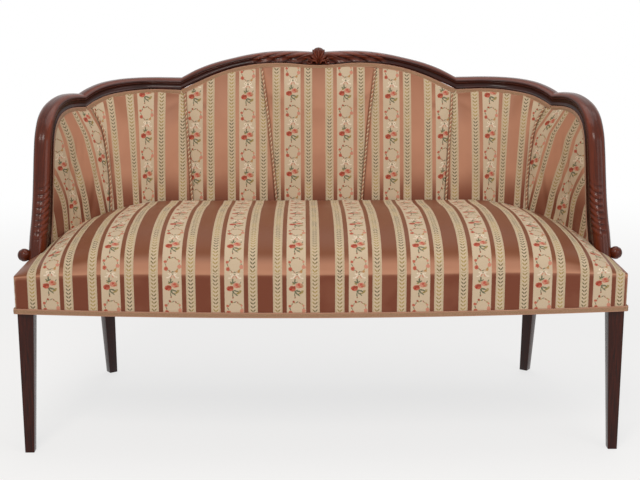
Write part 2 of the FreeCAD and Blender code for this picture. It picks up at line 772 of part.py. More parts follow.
def seat_outline():
    """Upright prism of the seat's plan above the rails, notched for the feet of the arms."""
    points = []
    for u in steps(0, ARM_FOOT_REAR, 22):
        reach = lerp(480, 415, turn_share(u))
        depth = max(pad_depth(u, z, []) for z in steps(BACK_PAD_BOTTOM, reach, 6)) + 2 * SOFT_GAP
        spots = [wall(u, z, depth) for z in (BACK_PAD_BOTTOM, reach)]
        inner = min(spots, key=lambda p: math.hypot(p.x, p.y))
        points.append(V(inner.x, inner.y, SEAT_PAD_BOTTOM))
    left = points[::-1]
    right = [V(-p.x, p.y, p.z) for p in points[1:]]
    curve = Part.BSplineCurve()
    curve.interpolate(left + right)
    half = SEAT_HALF_WIDTH
    foot = SEAT_DEPTH - REAR_CORNER_RADIUS + CORNER_END - ARM_FOOT_FRONT - SOFT_GAP
    inner = half - RAIL_DEPTH - SOFT_GAP
    z = SEAT_PAD_BOTTOM
    corners = [
        right[-1],
        V(inner, right[-1].y - 2, z),
        V(inner, foot, z),
        V(half, foot, z),
        V(half, front_y(half), z),
    ]
    sides = Part.makePolygon(corners).Edges
    sides += Part.makePolygon([V(-p.x, p.y, p.z) for p in corners]).Edges
    front = Part.Arc(V(-half, front_y(half), z), V(0, -FRONT_BOW, z), V(half, front_y(half), z))
    wire = Part.Wire(Part.__sortEdges__([curve.toShape(), front.toShape()] + sides))
    return Part.Face(wire).extrude(UP * (SEAT_CROWN + 40))


def seat_pad():
    """Crowned seat with the cloth band that comes down over the front and side rails."""
    reach = SEAT_HALF_WIDTH + 12
    columns = [-reach, -600, -540, -450, -340, -200, 0, 200, 340, 450, 540, 600, reach]
    rows = [-60, -10, 50, 120, 200, 280, 360, 470]
    top = [[V(x, y, seat_height(x, y)) for y in rows] for x in columns]
    bottom = [[V(x, y, SEAT_PAD_BOTTOM - 40) for y in rows] for x in columns]
    body = seat_outline().common(patch_solid(top, bottom))
    band = plan_prism(0, SEAT_UNDERSIDE, SEAT_PAD_BOTTOM + 1)
    band = band.cut(plan_prism(BAND_THICKNESS, SEAT_UNDERSIDE, SEAT_PAD_BOTTOM + 1))
    half = SEAT_HALF_WIDTH
    wide = half + 9
    arc_y = SEAT_DEPTH - REAR_CORNER_RADIUS + CORNER_END
    rear = arc_y - ARM_FOOT_REAR + SOFT_GAP
    foot = arc_y - ARM_FOOT_FRONT - SOFT_GAP
    behind = box(-wide, wide, rear, SEAT_DEPTH + 9, SEAT_UNDERSIDE - 9, SEAT_PAD_BOTTOM + 9)
    under_arm = box(-wide, wide, foot, SEAT_DEPTH, RAIL_TOP - SOFT_GAP, SEAT_PAD_BOTTOM + 9)
    pad = body.fuse(band.cut([behind, under_arm])).removeSplitter()
    corners = [e for e in pad.Edges if e.BoundBox.XLength < 1 and abs(e.CenterOfMass.x) > half - 1]
    corners = [e for e in corners if e.BoundBox.YLength < 1 and e.CenterOfMass.y < 1]
    pad = pad.makeFillet(SEAT_CORNER_ROUND, corners)
    rims = [e for e in pad.Edges if e.CenterOfMass.z > SEAT_EDGE - 1 and e.CenterOfMass.y < foot - 1]
    rims = [e for e in rims if abs(e.CenterOfMass.x) > half - SEAT_CORNER_ROUND or e.CenterOfMass.y < 1]
    return pad.makeFillet(SEAT_EDGE_ROUND, rims)


def seat_gimp():
    """Braid round the bottom edge of the seat."""
    top = SEAT_UNDERSIDE + SEAT_GIMP_HEIGHT
    outside = plan_prism(-SEAM_GAP - GIMP_THICKNESS, SEAT_UNDERSIDE, top)
    return outside.cut(plan_prism(-SEAM_GAP, SEAT_UNDERSIDE, top))


def inner_upright():
    """Left upright inside the back, from the rear rail to the crest."""
    top = inner_height(UPRIGHT_AT + UPRIGHT_WIDTH / 2) - JOINT_GAP
    top = min(top, inner_height(UPRIGHT_AT - UPRIGHT_WIDTH / 2) - JOINT_GAP)
    columns = steps(UPRIGHT_AT - UPRIGHT_WIDTH / 2, UPRIGHT_AT + UPRIGHT_WIDTH / 2, 3)
    rows = steps(RAIL_TOP + JOINT_GAP, top, 4)
    return wall_slab(columns, rows, STRUCTURE_AT, STRUCTURE_AT + UPRIGHT_DEPTH)


def tacking_rails():
    """Low rails of the back between the uprights and the posts: middle, left and right."""
    rows = steps(TACKING_RAIL_BOTTOM, TACKING_RAIL_BOTTOM + TACKING_RAIL_HEIGHT, 3)
    inner = UPRIGHT_AT - UPRIGHT_WIDTH / 2 - JOINT_GAP
    outer = UPRIGHT_AT + UPRIGHT_WIDTH / 2 + JOINT_GAP
    far = POST_AT - REAR_LEG_TOP / 2 - 1.5
    depths = (STRUCTURE_AT + SOFT_GAP, STRUCTURE_AT + UPRIGHT_DEPTH - SOFT_GAP)
    middle = wall_slab(steps(-inner, inner, 5), rows, *depths)
    left = wall_slab(steps(outer, far, 9), rows, *depths)
    return middle, left, mirrored(left)


def build():
    """Every node of the settee by name; a node is a list of solids."""
    nodes = {}

    def pair(name, shape):
        nodes["left_" + name] = [shape]
        nodes["right_" + name] = [mirrored(shape)]

    pair("front_leg", front_leg())
    pair("rear_post", rear_post())
    for name, rail in zip(("front", "rear", "left", "right"), seat_rails()):
        nodes[name + "_seat_rail"] = [rail]
    nodes["corner_blocks"] = corner_blocks()
    nodes["seat_brace"] = [seat_brace()]
    nodes["seat_webbing"] = [seat_webbing()]
    nodes["dust_cover"] = [dust_cover()]
    nodes["seat_springs"] = seat_springs()
    nodes["seat_burlap"] = [seat_burlap()]
    nodes["seat_pad"] = [seat_pad()]
    nodes["seat_gimp"] = [seat_gimp()]

    pin_holes = dowels(JOINT_GAP)
    nodes["crest_dowels"] = dowels(0)
    nodes["crest_rail"] = [crest_rail().cut(pin_holes)]
    first = ((337 + JOINT_GAP, 735), (337 + JOINT_GAP, 762))
    last = ((585 - JOINT_GAP, 704), (585 - JOINT_GAP, 733))
    pair("shoulder_rail", show_rail([first] + SHOULDER_STATIONS[1:-1] + [last]).cut(pin_holes))
    pair("arm_rail", arm_rail().cut(pin_holes))

    pair("inner_upright", inner_upright())
    for name, rail in zip(("middle", "left", "right"), tacking_rails()):
        nodes[name + "_tacking_rail"] = [rail]
    edges = (COVER_SEAM, -1), (COVER_SEAM, 1)
    wide, tall = steps(0, 1, 41), steps(0, 1, 13)
    nodes["outside_back_cover"] = [cloth(back_grid(*edges, SEAT_UNDERSIDE, EDGE_GAP, wide, tall), 0, COVER_THICKNESS)]
    nodes["back_burlap"] = [
        cloth(back_grid(*edges, RAIL_TOP + 2, BURLAP_BORDER, wide, tall), BURLAP_AT, BURLAP_THICKNESS)
    ]
    pair("outside_wing_cover", outside_wing_cover())
    pair("wing_burlap", cloth(wing_grid(COVER_SEAM, RAIL_TOP + 2, BURLAP_BORDER, WING_COLUMNS, tall), BURLAP_AT, BURLAP_THICKNESS))
    for name, near, far, seams in back_pads():
        pad = padded(back_grid(near, far, BACK_PAD_BOTTOM, EDGE_GAP, CHANNEL_COLUMNS, PAD_ROWS), seams)
        if name == "centre_back_pad":
            nodes[name] = [pad]
        else:
            pair(name, pad)
    pair("wing_pad", padded(wing_grid(WING_SEAM, BACK_PAD_BOTTOM, EDGE_GAP, WING_COLUMNS, PAD_ROWS), [WING_SEAM]))
    cords = [seam_cord(seam, [seam]) for seam in (CENTRE_SEAM, SHOULDER_SEAM, WING_SEAM)]
    nodes["seam_cords"] = cords + [mirrored(c) for c in cords]
    nodes["back_gimp"] = back_gimp()
    return nodes


def middle_of_depth(nodes):
    """Y halfway between the front of the braid and the back of the rear feet."""
    front = -(FRONT_BOW + SEAM_GAP + GIMP_THICKNESS)
    rear = max(vertex.Y for vertex in nodes["left_rear_post"][0].Vertexes)
    return (front + rear) / 2


def main():
    os.makedirs("parts", exist_ok=True)
    nodes = build()
    shift = V(0, -middle_of_depth(nodes), 0)
    for name, solids in nodes.items():
        solids = [piece for solid in solids for piece in solid.Solids]
        shape = solids[0] if len(solids) == 1 else Part.makeCompound(solids)
        shape.translate(shift)
        shape.exportStep("parts/" + name + ".step")


if __name__ == "__main__":
    main()
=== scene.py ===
"""A camelback settee with carved mahogany show wood, a channelled back and a crowned seat in striped brocade.

Sizes are in millimetres. The back and the wings are one wall that follows the plan of the seat, and a place
on it has three numbers: u, the way along the plan from the middle of the back towards the left; z, the height;
and t, the depth inwards from the outside face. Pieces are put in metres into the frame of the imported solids.
"""

import logging
import math
from dataclasses import dataclass, field
from typing import Any, Callable, Sequence

import bmesh
import bpy
import numpy as np
from mathutils import Matrix, Vector


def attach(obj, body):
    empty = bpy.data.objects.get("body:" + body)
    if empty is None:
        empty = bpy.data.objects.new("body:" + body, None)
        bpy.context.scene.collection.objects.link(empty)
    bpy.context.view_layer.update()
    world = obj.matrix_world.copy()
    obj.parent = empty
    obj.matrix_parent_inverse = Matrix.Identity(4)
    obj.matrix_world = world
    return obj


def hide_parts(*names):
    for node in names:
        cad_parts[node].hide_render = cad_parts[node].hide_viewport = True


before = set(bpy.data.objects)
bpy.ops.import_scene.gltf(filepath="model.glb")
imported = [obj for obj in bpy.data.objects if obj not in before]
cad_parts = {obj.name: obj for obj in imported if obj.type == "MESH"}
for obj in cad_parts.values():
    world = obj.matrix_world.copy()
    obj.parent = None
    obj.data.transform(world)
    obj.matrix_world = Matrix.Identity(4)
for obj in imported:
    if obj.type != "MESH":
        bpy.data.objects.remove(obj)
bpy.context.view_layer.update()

MM = 0.001
DEPTH_MIDDLE = 261.041
LOG = logging.getLogger("settee")

Array = np.ndarray
Pair = tuple[float, float]


# Shapes along lines


def ease(x: Array) -> Array:
    """0 below 0, 1 above 1, and smooth between."""
    x = np.clip(x, 0.0, 1.0)
    return x * x * (3 - 2 * x)


def lerp(a: Any, b: Any, share: Any) -> Any:
    """The value at a share of the way from a to b."""
    return a + (b - a) * share


def smooth(knots: Array, values: Array, x: Array) -> Array:
    """Smooth line through values at rising knots.

    Args:
        knots: Where the values are, rising.
        values: One row for each knot.
        x: Where the line is read.

    Returns:
        One row for each x.
    """
    knots = np.asarray(knots, float)
    values = np.asarray(values, float).reshape(len(knots), -1)
    x = np.clip(np.asarray(x, float), knots[0], knots[-1])
    before, after = np.maximum(np.arange(len(knots)) - 1, 0), np.minimum(
        np.arange(len(knots)) + 1, len(knots) - 1
    )
    slopes = (values[after] - values[before]) / (knots[after] - knots[before])[:, None]
    i = np.clip(np.searchsorted(knots, x, side="right") - 1, 0, len(knots) - 2)
    h = (knots[i + 1] - knots[i])[:, None]
    s = ((x - knots[i]) / h[:, 0])[:, None]
    return (
        (1 + 2 * s) * (1 - s) ** 2 * values[i]
        + s * (1 - s) ** 2 * h * slopes[i]
        + s * s * (3 - 2 * s) * values[i + 1]
        - s * s * (1 - s) * h * slopes[i + 1]
    )


def arc(a: Pair, middle: Pair, b: Pair, count: int) -> list[Pair]:
    """Points on the circle through three points, from a up to but without b."""
    (ax, ay), (mx, my), (bx, by) = a, middle, b
    d = 2 * (ax * (my - by) + mx * (by - ay) + bx * (ay - my))
    a2, m2, b2 = ax * ax + ay * ay, mx * mx + my * my, bx * bx + by * by
    cx = (a2 * (my - by) + m2 * (by - ay) + b2 * (ay - my)) / d
    cy = (a2 * (bx - mx) + m2 * (ax - bx) + b2 * (mx - ax)) / d
    radius = math.hypot(ax - cx, ay - cy)
    turns = [math.atan2(y - cy, x - cx) for x, y in (a, middle, b)]
    sweep = (turns[2] - turns[0]) % (2 * math.pi)
    if (turns[1] - turns[0]) % (2 * math.pi) > sweep:
        sweep -= 2 * math.pi
    angles = [turns[0] + sweep * i / count for i in range(count)]
    return [(cx + radius * math.cos(t), cy + radius * math.sin(t)) for t in angles]


@dataclass(frozen=True)
class Chain:
    """A run of the show wood, as stations of its inner and its outer edge on the wall."""

    inner: tuple[Pair, ...]
    outer: tuple[Pair, ...]

    @property
    def knots(self) -> Array:
        """Way along the middle line at each station."""
        middle = (np.array(self.inner, float) + np.array(self.outer, float)) / 2
        return np.concatenate([[0], np.cumsum(np.hypot(*np.diff(middle, axis=0).T))])

    @property
    def length(self) -> float:
        """Length of the middle line."""
        return float(self.knots[-1])

    def at(self, way: Array, share: Array) -> tuple[Array, Array]:
        """Place on the wall.

        Args:
            way: Way along the middle line.
            share: 0 at the inner edge and 1 at the outer edge.

        Returns:
            u and z.
        """
        inner = smooth(self.knots, self.inner, way)
        outer = smooth(self.knots, self.outer, way)
        place = lerp(inner, outer, np.asarray(share, float)[:, None])
        return place[:, 0], place[:, 1]

    def mirrored(self) -> "Chain":
        """The same run on both sides of the middle, which has to be this run's start."""
        inner = [(-u, z) for u, z in self.inner[:0:-1]] + list(self.inner)
        outer = [(-u, z) for u, z in self.outer[:0:-1]] + list(self.outer)
        return Chain(tuple(inner), tuple(outer))


CREST = Chain(
    (
        (0, 794), (38, 795.5), (78, 799), (120, 799), (165, 795), (212, 785.5), (257, 770.5), (300, 752),
        (337, 735)
    ),
    (
        (0, 823), (38, 825), (78, 826), (118, 824.5), (162, 819), (208, 809.5), (257, 797), (300, 781),
        (337, 762)
    ),
)
SHOULDER = Chain(
    ((337, 735), (366, 736), (400, 737), (440, 735.5), (482, 731.5), (520, 725.5), (555, 715.5), (585, 704)),
    ((337, 762), (366, 762.5), (400, 763), (440, 762.5), (482, 760), (522, 754), (557, 744), (585, 733)),
)
ARM = Chain(
    (
        *((585, 704), (616, 706), (650, 706.5), (688, 702), (723, 692), (757, 674), (779, 646)),
        *((789, 610), (794, 565), (799, 515), (806, 470), (818, 430), (842, 388.1)),
    ),
    (
        *((585, 733), (614, 736), (656, 736), (704, 728), (750, 714), (790, 692), (817, 661)),
        *((829, 621), (838, 570), (849, 520), (864, 482), (884, 448), (905, 388.1)),
    ),
)
WING_SEAM = ((390, 547), (448, 541), (516, 536), (585, 537), (654, 545), (711, 572))
SHOULDER_SEAM = ((390, 303), (461, 309), (559, 315), (658, 322), (740, 328))
CENTRE_SEAM = ((390, 97), (460, 103), (584, 114), (683, 125), (797, 140))
COVER_SEAM = ((313, 548), (711, 548))


def seam_at(seam: Sequence[Pair], z: Array) -> Array:
    """How far along the wall a seam is at height z."""
    heights, places = zip(*seam)
    return smooth(np.array(heights), np.array(places), z)[:, 0]


@dataclass(frozen=True)
class Wall:
    """The leaning wall of the back and the wings, the same as the solids follow."""

    half_width: float = 646.0
    depth: float = 500.0
    corner_radius: float = 250.0
    front_bow: float = 41.0
    back_lean: float = 0.125
    wing_lean: float = -0.04
    back_from: float = 320.0
    wing_from: float = 388.0
    lean_ease: float = 60.0

    @property
    def corner_start(self) -> float:
        """Where the rear corner starts, as u."""
        return self.half_width - self.corner_radius

    @property
    def corner_end(self) -> float:
        """Where the rear corner ends, as u."""
        return self.corner_start + self.corner_radius * math.pi / 2

    def turn_share(self, u: Array) -> Array:
        """0 along the back, 1 along the wing, and smooth round the corner."""
        return ease((np.abs(u) - self.corner_start) / (self.corner_end - self.corner_start))

    def reach(self, u: Array, z: Array) -> Array:
        """How far the wall leans outwards at a height."""
        share = self.turn_share(u)
        above = np.maximum(0.0, z - lerp(self.back_from, self.wing_from, share))
        run = np.where(above < self.lean_ease, above**2 / (2 * self.lean_ease), above - self.lean_ease / 2)
        return lerp(self.back_lean, self.wing_lean, share) * run

    def point(self, u: Array, z: Array, t: Array) -> Array:
        """Points on the wall.

        Args:
            u: Way along the plan from the middle, towards the left.
            z: Height.
            t: Depth inwards from the outside face.

        Returns:
            One row of x, y and z for each place, in millimetres.
        """
        u, z, t = (np.asarray(v, float) for v in np.broadcast_arrays(u, z, t))
        side, a = np.where(u >= 0, 1.0, -1.0), np.abs(u)
        angle = np.clip((a - self.corner_start) / self.corner_radius, 0, math.pi / 2)
        out = np.stack([-np.sin(angle), np.cos(angle)], -1)
        x = -np.minimum(a, self.corner_start) - self.corner_radius * np.sin(angle)
        y = self.depth - self.corner_radius * (1 - np.cos(angle)) - np.maximum(a - self.corner_end, 0)
        off = self.reach(u, z) - t
        return np.stack([(x + out[..., 0] * off) * side, y + out[..., 1] * off, z], -1)

    def place(self, points: Array) -> tuple[Array, Array, Array]:
        """The u, z and t of points, the other way round from point()."""
        x, y, z = points.T
        side, ax = np.where(x <= 0, 1.0, -1.0), np.abs(x)
        cx, cy = self.corner_start, self.depth - self.corner_radius
        angle = np.clip(np.arctan2(ax - cx, y - cy), 0, math.pi / 2)
        u = np.where(ax <= cx, ax, cx + self.corner_radius * angle)
        u = np.where((ax > cx) & (y < cy), self.corner_end + cy - y, u)
        out = np.where(ax <= cx, y - self.depth, np.hypot(ax - cx, y - cy) - self.corner_radius)
        out = np.where((ax > cx) & (y < cy), ax - self.half_width, out)
        return u * side, z, self.reach(u, z) - out

    def front(self, x: Array) -> Array:
        """Y of the bowed front edge of the seat."""
        radius = (self.half_width**2 + self.front_bow**2) / (2 * self.front_bow)
        return radius - self.front_bow - np.sqrt(radius**2 - np.asarray(x, float) ** 2)


WALL = Wall()


def inner_height(u: Array) -> Array:
    """Height of the show wood's inner edge over the back."""
    inner = np.array(CREST.inner + SHOULDER.inner[1:])
    return smooth(inner[:, 0], inner[:, 1], np.abs(u))[:, 0]


def inner_edge() -> Array:
    """Close points along the whole inner edge of the show wood on the left."""
    runs = [smooth(c.knots, c.inner, np.arange(0, c.length, 2.0)) for c in (CREST, SHOULDER, ARM)]
    return np.concatenate(runs)


# Meshes


def deselect() -> None:
    """Object mode, with nothing selected."""
    if bpy.context.object and bpy.context.object.mode != "OBJECT":
        bpy.ops.object.mode_set(mode="OBJECT")
    bpy.ops.object.select_all(action="DESELECT")


def activate(obj: bpy.types.Object) -> bpy.types.Object:
    """Makes obj the one selected and active object."""
    deselect()
    obj.select_set(True)
    bpy.context.view_layer.objects.active = obj
    return obj


def coordinates(obj: bpy.types.Object) -> Array:
    """Points of a mesh, in millimetres of the build frame."""
    co = np.empty(len(obj.data.vertices) * 3)
    obj.data.vertices.foreach_get("co", co)
    return co.reshape(-1, 3) / MM + (0, DEPTH_MIDDLE, 0)


def set_coordinates(obj: bpy.types.Object, points: Array) -> None:
    """Moves the points of a mesh, given in millimetres of the build frame."""
    obj.data.vertices.foreach_set("co", ((points - (0, DEPTH_MIDDLE, 0)) * MM).ravel())
    obj.data.update()


def grid(name: str, columns: int, rows: int) -> tuple[bpy.types.Object, Array, Array]:
    """Adds a flat grid, to be laid over a surface.

    Args:
        name: Name of the piece.
        columns: Number of faces across.
        rows: Number of faces along.

    Returns:
        The object, and each point's share across and along.
    """
    deselect()
    bpy.ops.mesh.primitive_grid_add(x_subdivisions=columns, y_subdivisions=rows, size=1)
    obj = bpy.context.object
    obj.name = obj.data.name = name
    co = np.empty(len(obj.data.vertices) * 3)
    obj.data.vertices.foreach_get("co", co)
    shares = co.reshape(-1, 3)[:, :2] + 0.5
    return obj, shares[:, 0], shares[:, 1]


def edit(obj: bpy.types.Object, *steps: Callable[[], Any]) -> None:
    """Runs edit mode operators on all of a mesh."""
    activate(obj)
    bpy.ops.object.mode_set(mode="EDIT")
    bpy.ops.mesh.select_all(action="SELECT")
    for step in steps:
        step()
    bpy.ops.object.mode_set(mode="OBJECT")


def close_up(obj: bpy.types.Object, reach: float = 0.01) -> None:
    """Merges points within reach millimetres, closes the ends and turns the faces outwards."""
    edit(
        obj,
        lambda: bpy.ops.mesh.remove_doubles(threshold=reach * MM),
        lambda: bpy.ops.mesh.select_all(action="DESELECT"),
        lambda: bpy.ops.mesh.select_non_manifold(extend=False, use_wire=False, use_multi_face=False),
        lambda: bpy.ops.mesh.fill_holes(sides=0),
        lambda: bpy.ops.mesh.select_all(action="SELECT"),
        lambda: bpy.ops.mesh.normals_make_consistent(inside=False),
    )


def modify(obj: bpy.types.Object, kind: str, **settings: Any) -> None:
    """Adds a modifier with its settings and applies it."""
    modifier = obj.modifiers.new(kind.title(), kind)
    for name, value in settings.items():
        setattr(modifier, name, value)
    activate(obj)
    bpy.ops.object.modifier_apply(modifier=modifier.name)


def smooth_shade(obj: bpy.types.Object, angle: float = 180.0) -> None:
    """Shades a mesh smooth across edges flatter than angle degrees."""
    activate(obj)
    if angle >= 180:
        bpy.ops.object.shade_smooth()
    else:
        bpy.ops.object.shade_smooth_by_angle(angle=math.radians(angle))


def set_flat_map(obj: bpy.types.Object, across: Array, along: Array) -> None:
    """Writes the UV map that patterns follow, in metres as on the flat cloth or board.

    Args:
        obj: The mesh.
        across: Millimetres across the cloth at each point, or at each corner of each face.
        along: Millimetres along the cloth, as across.
    """
    mesh = obj.data
    layer = mesh.uv_layers.get("flat") or mesh.uv_layers.new(name="flat")
    for other in [x for x in mesh.uv_layers if x.name != "flat"]:
        mesh.uv_layers.remove(other)
    layer = mesh.uv_layers["flat"]
    if len(across) != len(mesh.loops):
        corners = np.empty(len(mesh.loops), np.int64)
        mesh.loops.foreach_get("vertex_index", corners)
        across, along = across[corners], along[corners]
    layer.data.foreach_set("uv", (np.stack([across, along], -1) * MM).ravel())


def copy_mirrored(obj: bpy.types.Object, name: str) -> bpy.types.Object:
    """A copy of a left piece with its own mesh, turned into the right one."""
    twin = bpy.data.objects.new(name, obj.data.copy())
    twin.data.name = name
    bpy.context.scene.collection.objects.link(twin)
    set_coordinates(twin, coordinates(twin) * (-1, 1, 1))
    edit(twin, lambda: bpy.ops.mesh.flip_normals())
    return twin


def seat_piece(
    obj: bpy.types.Object, finish: "Finish", replaces: Sequence[str] = ()
) -> bpy.types.Object:
    """Dresses a finished piece and puts it on the root body.

    Args:
        obj: The piece.
        finish: What it is made of.
        replaces: Nodes of the solids that it stands for.

    Returns:
        The piece.
    """
    obj.data.materials.clear()
    obj.data.materials.append(finish.material())
    if replaces:
        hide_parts(*replaces)
    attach(obj, "root")
    LOG.info("%s: %d faces", obj.name, len(obj.data.polygons))
    return obj


def tube(
    name: str, line: Array, radius: float | Array, sides: int = 8, closed: bool = False
) -> bpy.types.Object:
    """A round tube along a line of points.

    Args:
        name: Name of the piece.
        line: Points of the line.
        radius: Radius, the same all along or one for each point.
        sides: Number of faces round.
        closed: Whether the line runs back to its start.

    Returns:
        The tube, with closed ends.
    """
    count = len(line)
    obj, around, along = grid(name, sides, count if closed else count - 1)
    i = np.rint(along * (count if closed else count - 1)).astype(int) % count
    ahead = np.roll(line, -1, 0) - np.roll(line, 1, 0)
    if not closed:
        ahead[0], ahead[-1] = line[1] - line[0], line[-1] - line[-2]
    ahead /= np.linalg.norm(ahead, axis=1)[:, None]
    across = np.empty_like(ahead)
    vector = np.cross(ahead[0], (0.13, 0.31, 0.94))
    for k in range(count):
        vector = vector - ahead[k] * (vector @ ahead[k])
        vector /= np.linalg.norm(vector)
        across[k] = vector
    up = np.cross(ahead, across)
    angle = around * 2 * math.pi
    size = np.broadcast_to(np.asarray(radius, float), count)[i][:, None]
    points = line[i] + (across[i] * np.cos(angle)[:, None] + up[i] * np.sin(angle)[:, None]) * size
    set_coordinates(obj, points)
    way = np.concatenate([[0], np.cumsum(np.linalg.norm(np.diff(line, axis=0), axis=1))])
    set_flat_map(obj, way[i], around * 2 * math.pi * float(np.mean(radius)))
    close_up(obj)
    smooth_shade(obj, 60)
    return obj


def set_tone_wear_and_painted_light(obj: bpy.types.Object, worn: Array | float) -> None:
    """Writes a tone for each point, 0 to 1: on the wood how rubbed it is, partly painted highlight; on the
    back's channels painted shade; for a strand how light it is.
    """
    layer = obj.data.attributes.get("worn") or obj.data.attributes.new("worn", "FLOAT", "POINT")
    count = len(obj.data.vertices)
    layer.data.foreach_set("value", np.broadcast_to(np.asarray(worn, float), count).astype(np.float32))


def join(name: str, pieces: Sequence[bpy.types.Object]) -> bpy.types.Object:
    """Joins pieces into the first one and names it."""
    deselect()
    for piece in pieces:
        piece.select_set(True)
    bpy.context.view_layer.objects.active = pieces[0]
    bpy.ops.object.join()
    pieces[0].name = pieces[0].data.name = name
    return pieces[0]


# Finishes


def linear(hexed: str) -> tuple[float, float, float, float]:
    """Linear colour of an sRGB hex value such as "C9B48F"."""
    parts = [int(hexed[i : i + 2], 16) / 255 for i in (0, 2, 4)]
    red, green, blue = (c / 12.92 if c <= 0.04045 else ((c + 0.055) / 1.055) ** 2.4 for c in parts)
    return red, green, blue, 1.0


class Graph:
    """The node tree of one material."""

    def __init__(self, name: str) -> None:
        """Starts an empty tree.

        Args:
            name: Name of the material.
        """
        self.material = bpy.data.materials.new(name)
        self.material.use_nodes = True
        self.material.node_tree.nodes.clear()

    def add(self, kind: str, *values: Any, **settings: Any) -> bpy.types.Node:
        """Adds a node.

        Args:
            kind: Blender's name for it, without ShaderNode.
            values: What goes into its inputs in turn: a number, a colour, a node or a socket, or None.
            settings: Its properties, and inputs by name with _ for a space.

        Returns:
            The node.
        """
        tree = self.material.node_tree
        node = tree.nodes.new("ShaderNode" + kind)
        named = {}
        for name, value in settings.items():
            if hasattr(node, name):
                setattr(node, name, value)
            else:
                named[name.replace("_", " ")] = value
        usable = [s for s in node.inputs if s.enabled]
        for socket, value in [*zip(usable, values), *((s, named[s.name]) for s in usable if s.name in named)]:
            if isinstance(value, bpy.types.Node):
                value = next(s for s in value.outputs if s.enabled)
            if isinstance(value, bpy.types.NodeSocket):
                tree.links.new(value, socket)
            elif value is not None:
                socket.default_value = value
        return node

    def flat(self) -> bpy.types.Node:
        """Adds the place on the flat cloth or along the wood, in millimetres."""
        return self.add("VectorMath", self.add("UVMap", uv_map="flat"), Scale=1 / MM, operation="SCALE")

    def calc(self, operation: str, *values: Any) -> bpy.types.Node:
        """Adds a Math node."""
        return self.add("Math", *values, operation=operation)

    def blend(self, *values: Any) -> bpy.types.Node:
        """Adds a mix of two colours: how much of the second, the first, the second."""
        return self.add("Mix", *values, data_type="RGBA")

    def finish(self, shader: bpy.types.Node) -> bpy.types.Material:
        """Sends a shader to the output and gives the material."""
        self.add("OutputMaterial", shader)
        return self.material


@dataclass(frozen=True)
class Finish:
    """A finish, which makes one material however many pieces wear it."""

    name: str = "finish"
    slot: str = "frame_wood"

    def material(self) -> bpy.types.Material:
        """The material, made the first time it is asked for."""
        return bpy.data.materials.get(self.name) or self.build(Graph(self.name))

    def build(self, graph: Graph) -> bpy.types.Material:
        """Makes the material in an empty graph."""
        raise NotImplementedError


@dataclass(frozen=True)
class Spot:
    """An oval of embroidery on the floral stripe, in millimetres from the bouquet's middle."""

    x: float
    y: float
    wide: float
    high: float
    turn: float
    colour: str


LEAF, OLIVE, DEEP, CORAL, PINK, PALE = "6F7058", "9A8650", "9C4A3A", "BA6450", "CB8A74", "E6D6C2"
BOUQUET = (
    *(Spot(-3, 15, 1.7, 5.5, 0, LEAF), Spot(-6, 11, 3.6, 1.3, -40, LEAF), Spot(0, 11.5, 3.6, 1.3, 40, LEAF)),
    *(Spot(-6, 8, 3.0, 1.3, -30, OLIVE), Spot(0.5, 8, 3.2, 1.3, 35, LEAF), Spot(13, 11, 3.0, 1.0, 60, LEAF)),
    *(
        Spot(-8.5, -1.5, 7.2, 5.8, 0, CORAL), Spot(-9.5, 0.2, 3.4, 2.6, 20, DEEP),
        Spot(-12, -3.5, 2.8, 1.5, 0, "A83A2E")
    ),
    *(Spot(-4.5, 1, 2.4, 3.2, 0, DEEP), Spot(5, 5, 7.4, 5.8, 0, PINK), Spot(5, 6.5, 3.0, 2.6, 0, "BC5C4A")),
    *(Spot(11, 4, 3.2, 3.8, 0, "B98A6A"), Spot(8, 2, 3.0, 1.8, 0, CORAL), Spot(4, -7, 6.5, 1.7, -20, LEAF)),
    *(Spot(9, -11, 5.6, 1.6, 25, OLIVE), Spot(-2, -9, 2.0, 3.6, 20, LEAF), Spot(3, -14, 5.6, 1.5, -35, LEAF)),
    *(
        Spot(12, -7, 3.0, 1.3, 10, OLIVE), Spot(-3.5, -16, 1.1, 5.0, 8, LEAF),
        Spot(-3, -21, 1.6, 1.6, 0, "94503C")
    ),
)
BOW = (
    *(
        Spot(-5, -66, 3.4, 2.6, 0, "EFE0CB"), Spot(-5, -66, 1.5, 1.0, 0, OLIVE),
        Spot(7, -66, 3.4, 2.6, 0, "EFE0CB")
    ),
    *(
        Spot(7, -66, 1.5, 1.0, 0, OLIVE), Spot(1, -67.5, 2.0, 1.5, 0, LEAF),
        Spot(-4.5, -72, 5.8, 1.2, 48, PALE)
    ),
    *(
        Spot(7, -72, 5.8, 1.2, -48, PALE), Spot(-2, -74, 4.2, 1.0, 60, PINK),
        Spot(4.5, -74, 4.2, 1.0, -60, PINK)
    ),
    *(Spot(-10, -75.5, 2.4, 1.4, 0, PALE), Spot(12.5, -75.5, 2.4, 1.4, 0, PALE)),
)


def wreath() -> tuple[Spot, ...]:
    """Leaves, buds and roses in a ring below the bouquet."""
    spots = []
    for i in range(16):
        angle = 2 * math.pi * i / 16
        x, y = 1 + 14.5 * math.sin(angle), -45 + 14.5 * math.cos(angle)
        colour = (
            "8A8468", "B98E74", OLIVE, "B59A7C"
        )[i % 4] if 1 < i < 8 else (LEAF, "A0705A", "8A8468", OLIVE)[i % 4]
        spots.append(Spot(x, y, 3.1, 1.05, -math.degrees(angle) + 25 * (-1) ** i, colour))
    roses = [(-6, -30, 2.2, DEEP), (-14, -39, 3.0, CORAL), (-12.5, -53, 4.2, CORAL), (-12.5, -53, 1.6, DEEP)]
    roses += [(15, -49, 4.2, PINK), (10, -58, 2.6, "B98A5A"), (14.5, -38, 2.4, PINK)]
    return (*spots, *(Spot(x, y, r, r, 0, colour) for x, y, r, colour in roses))


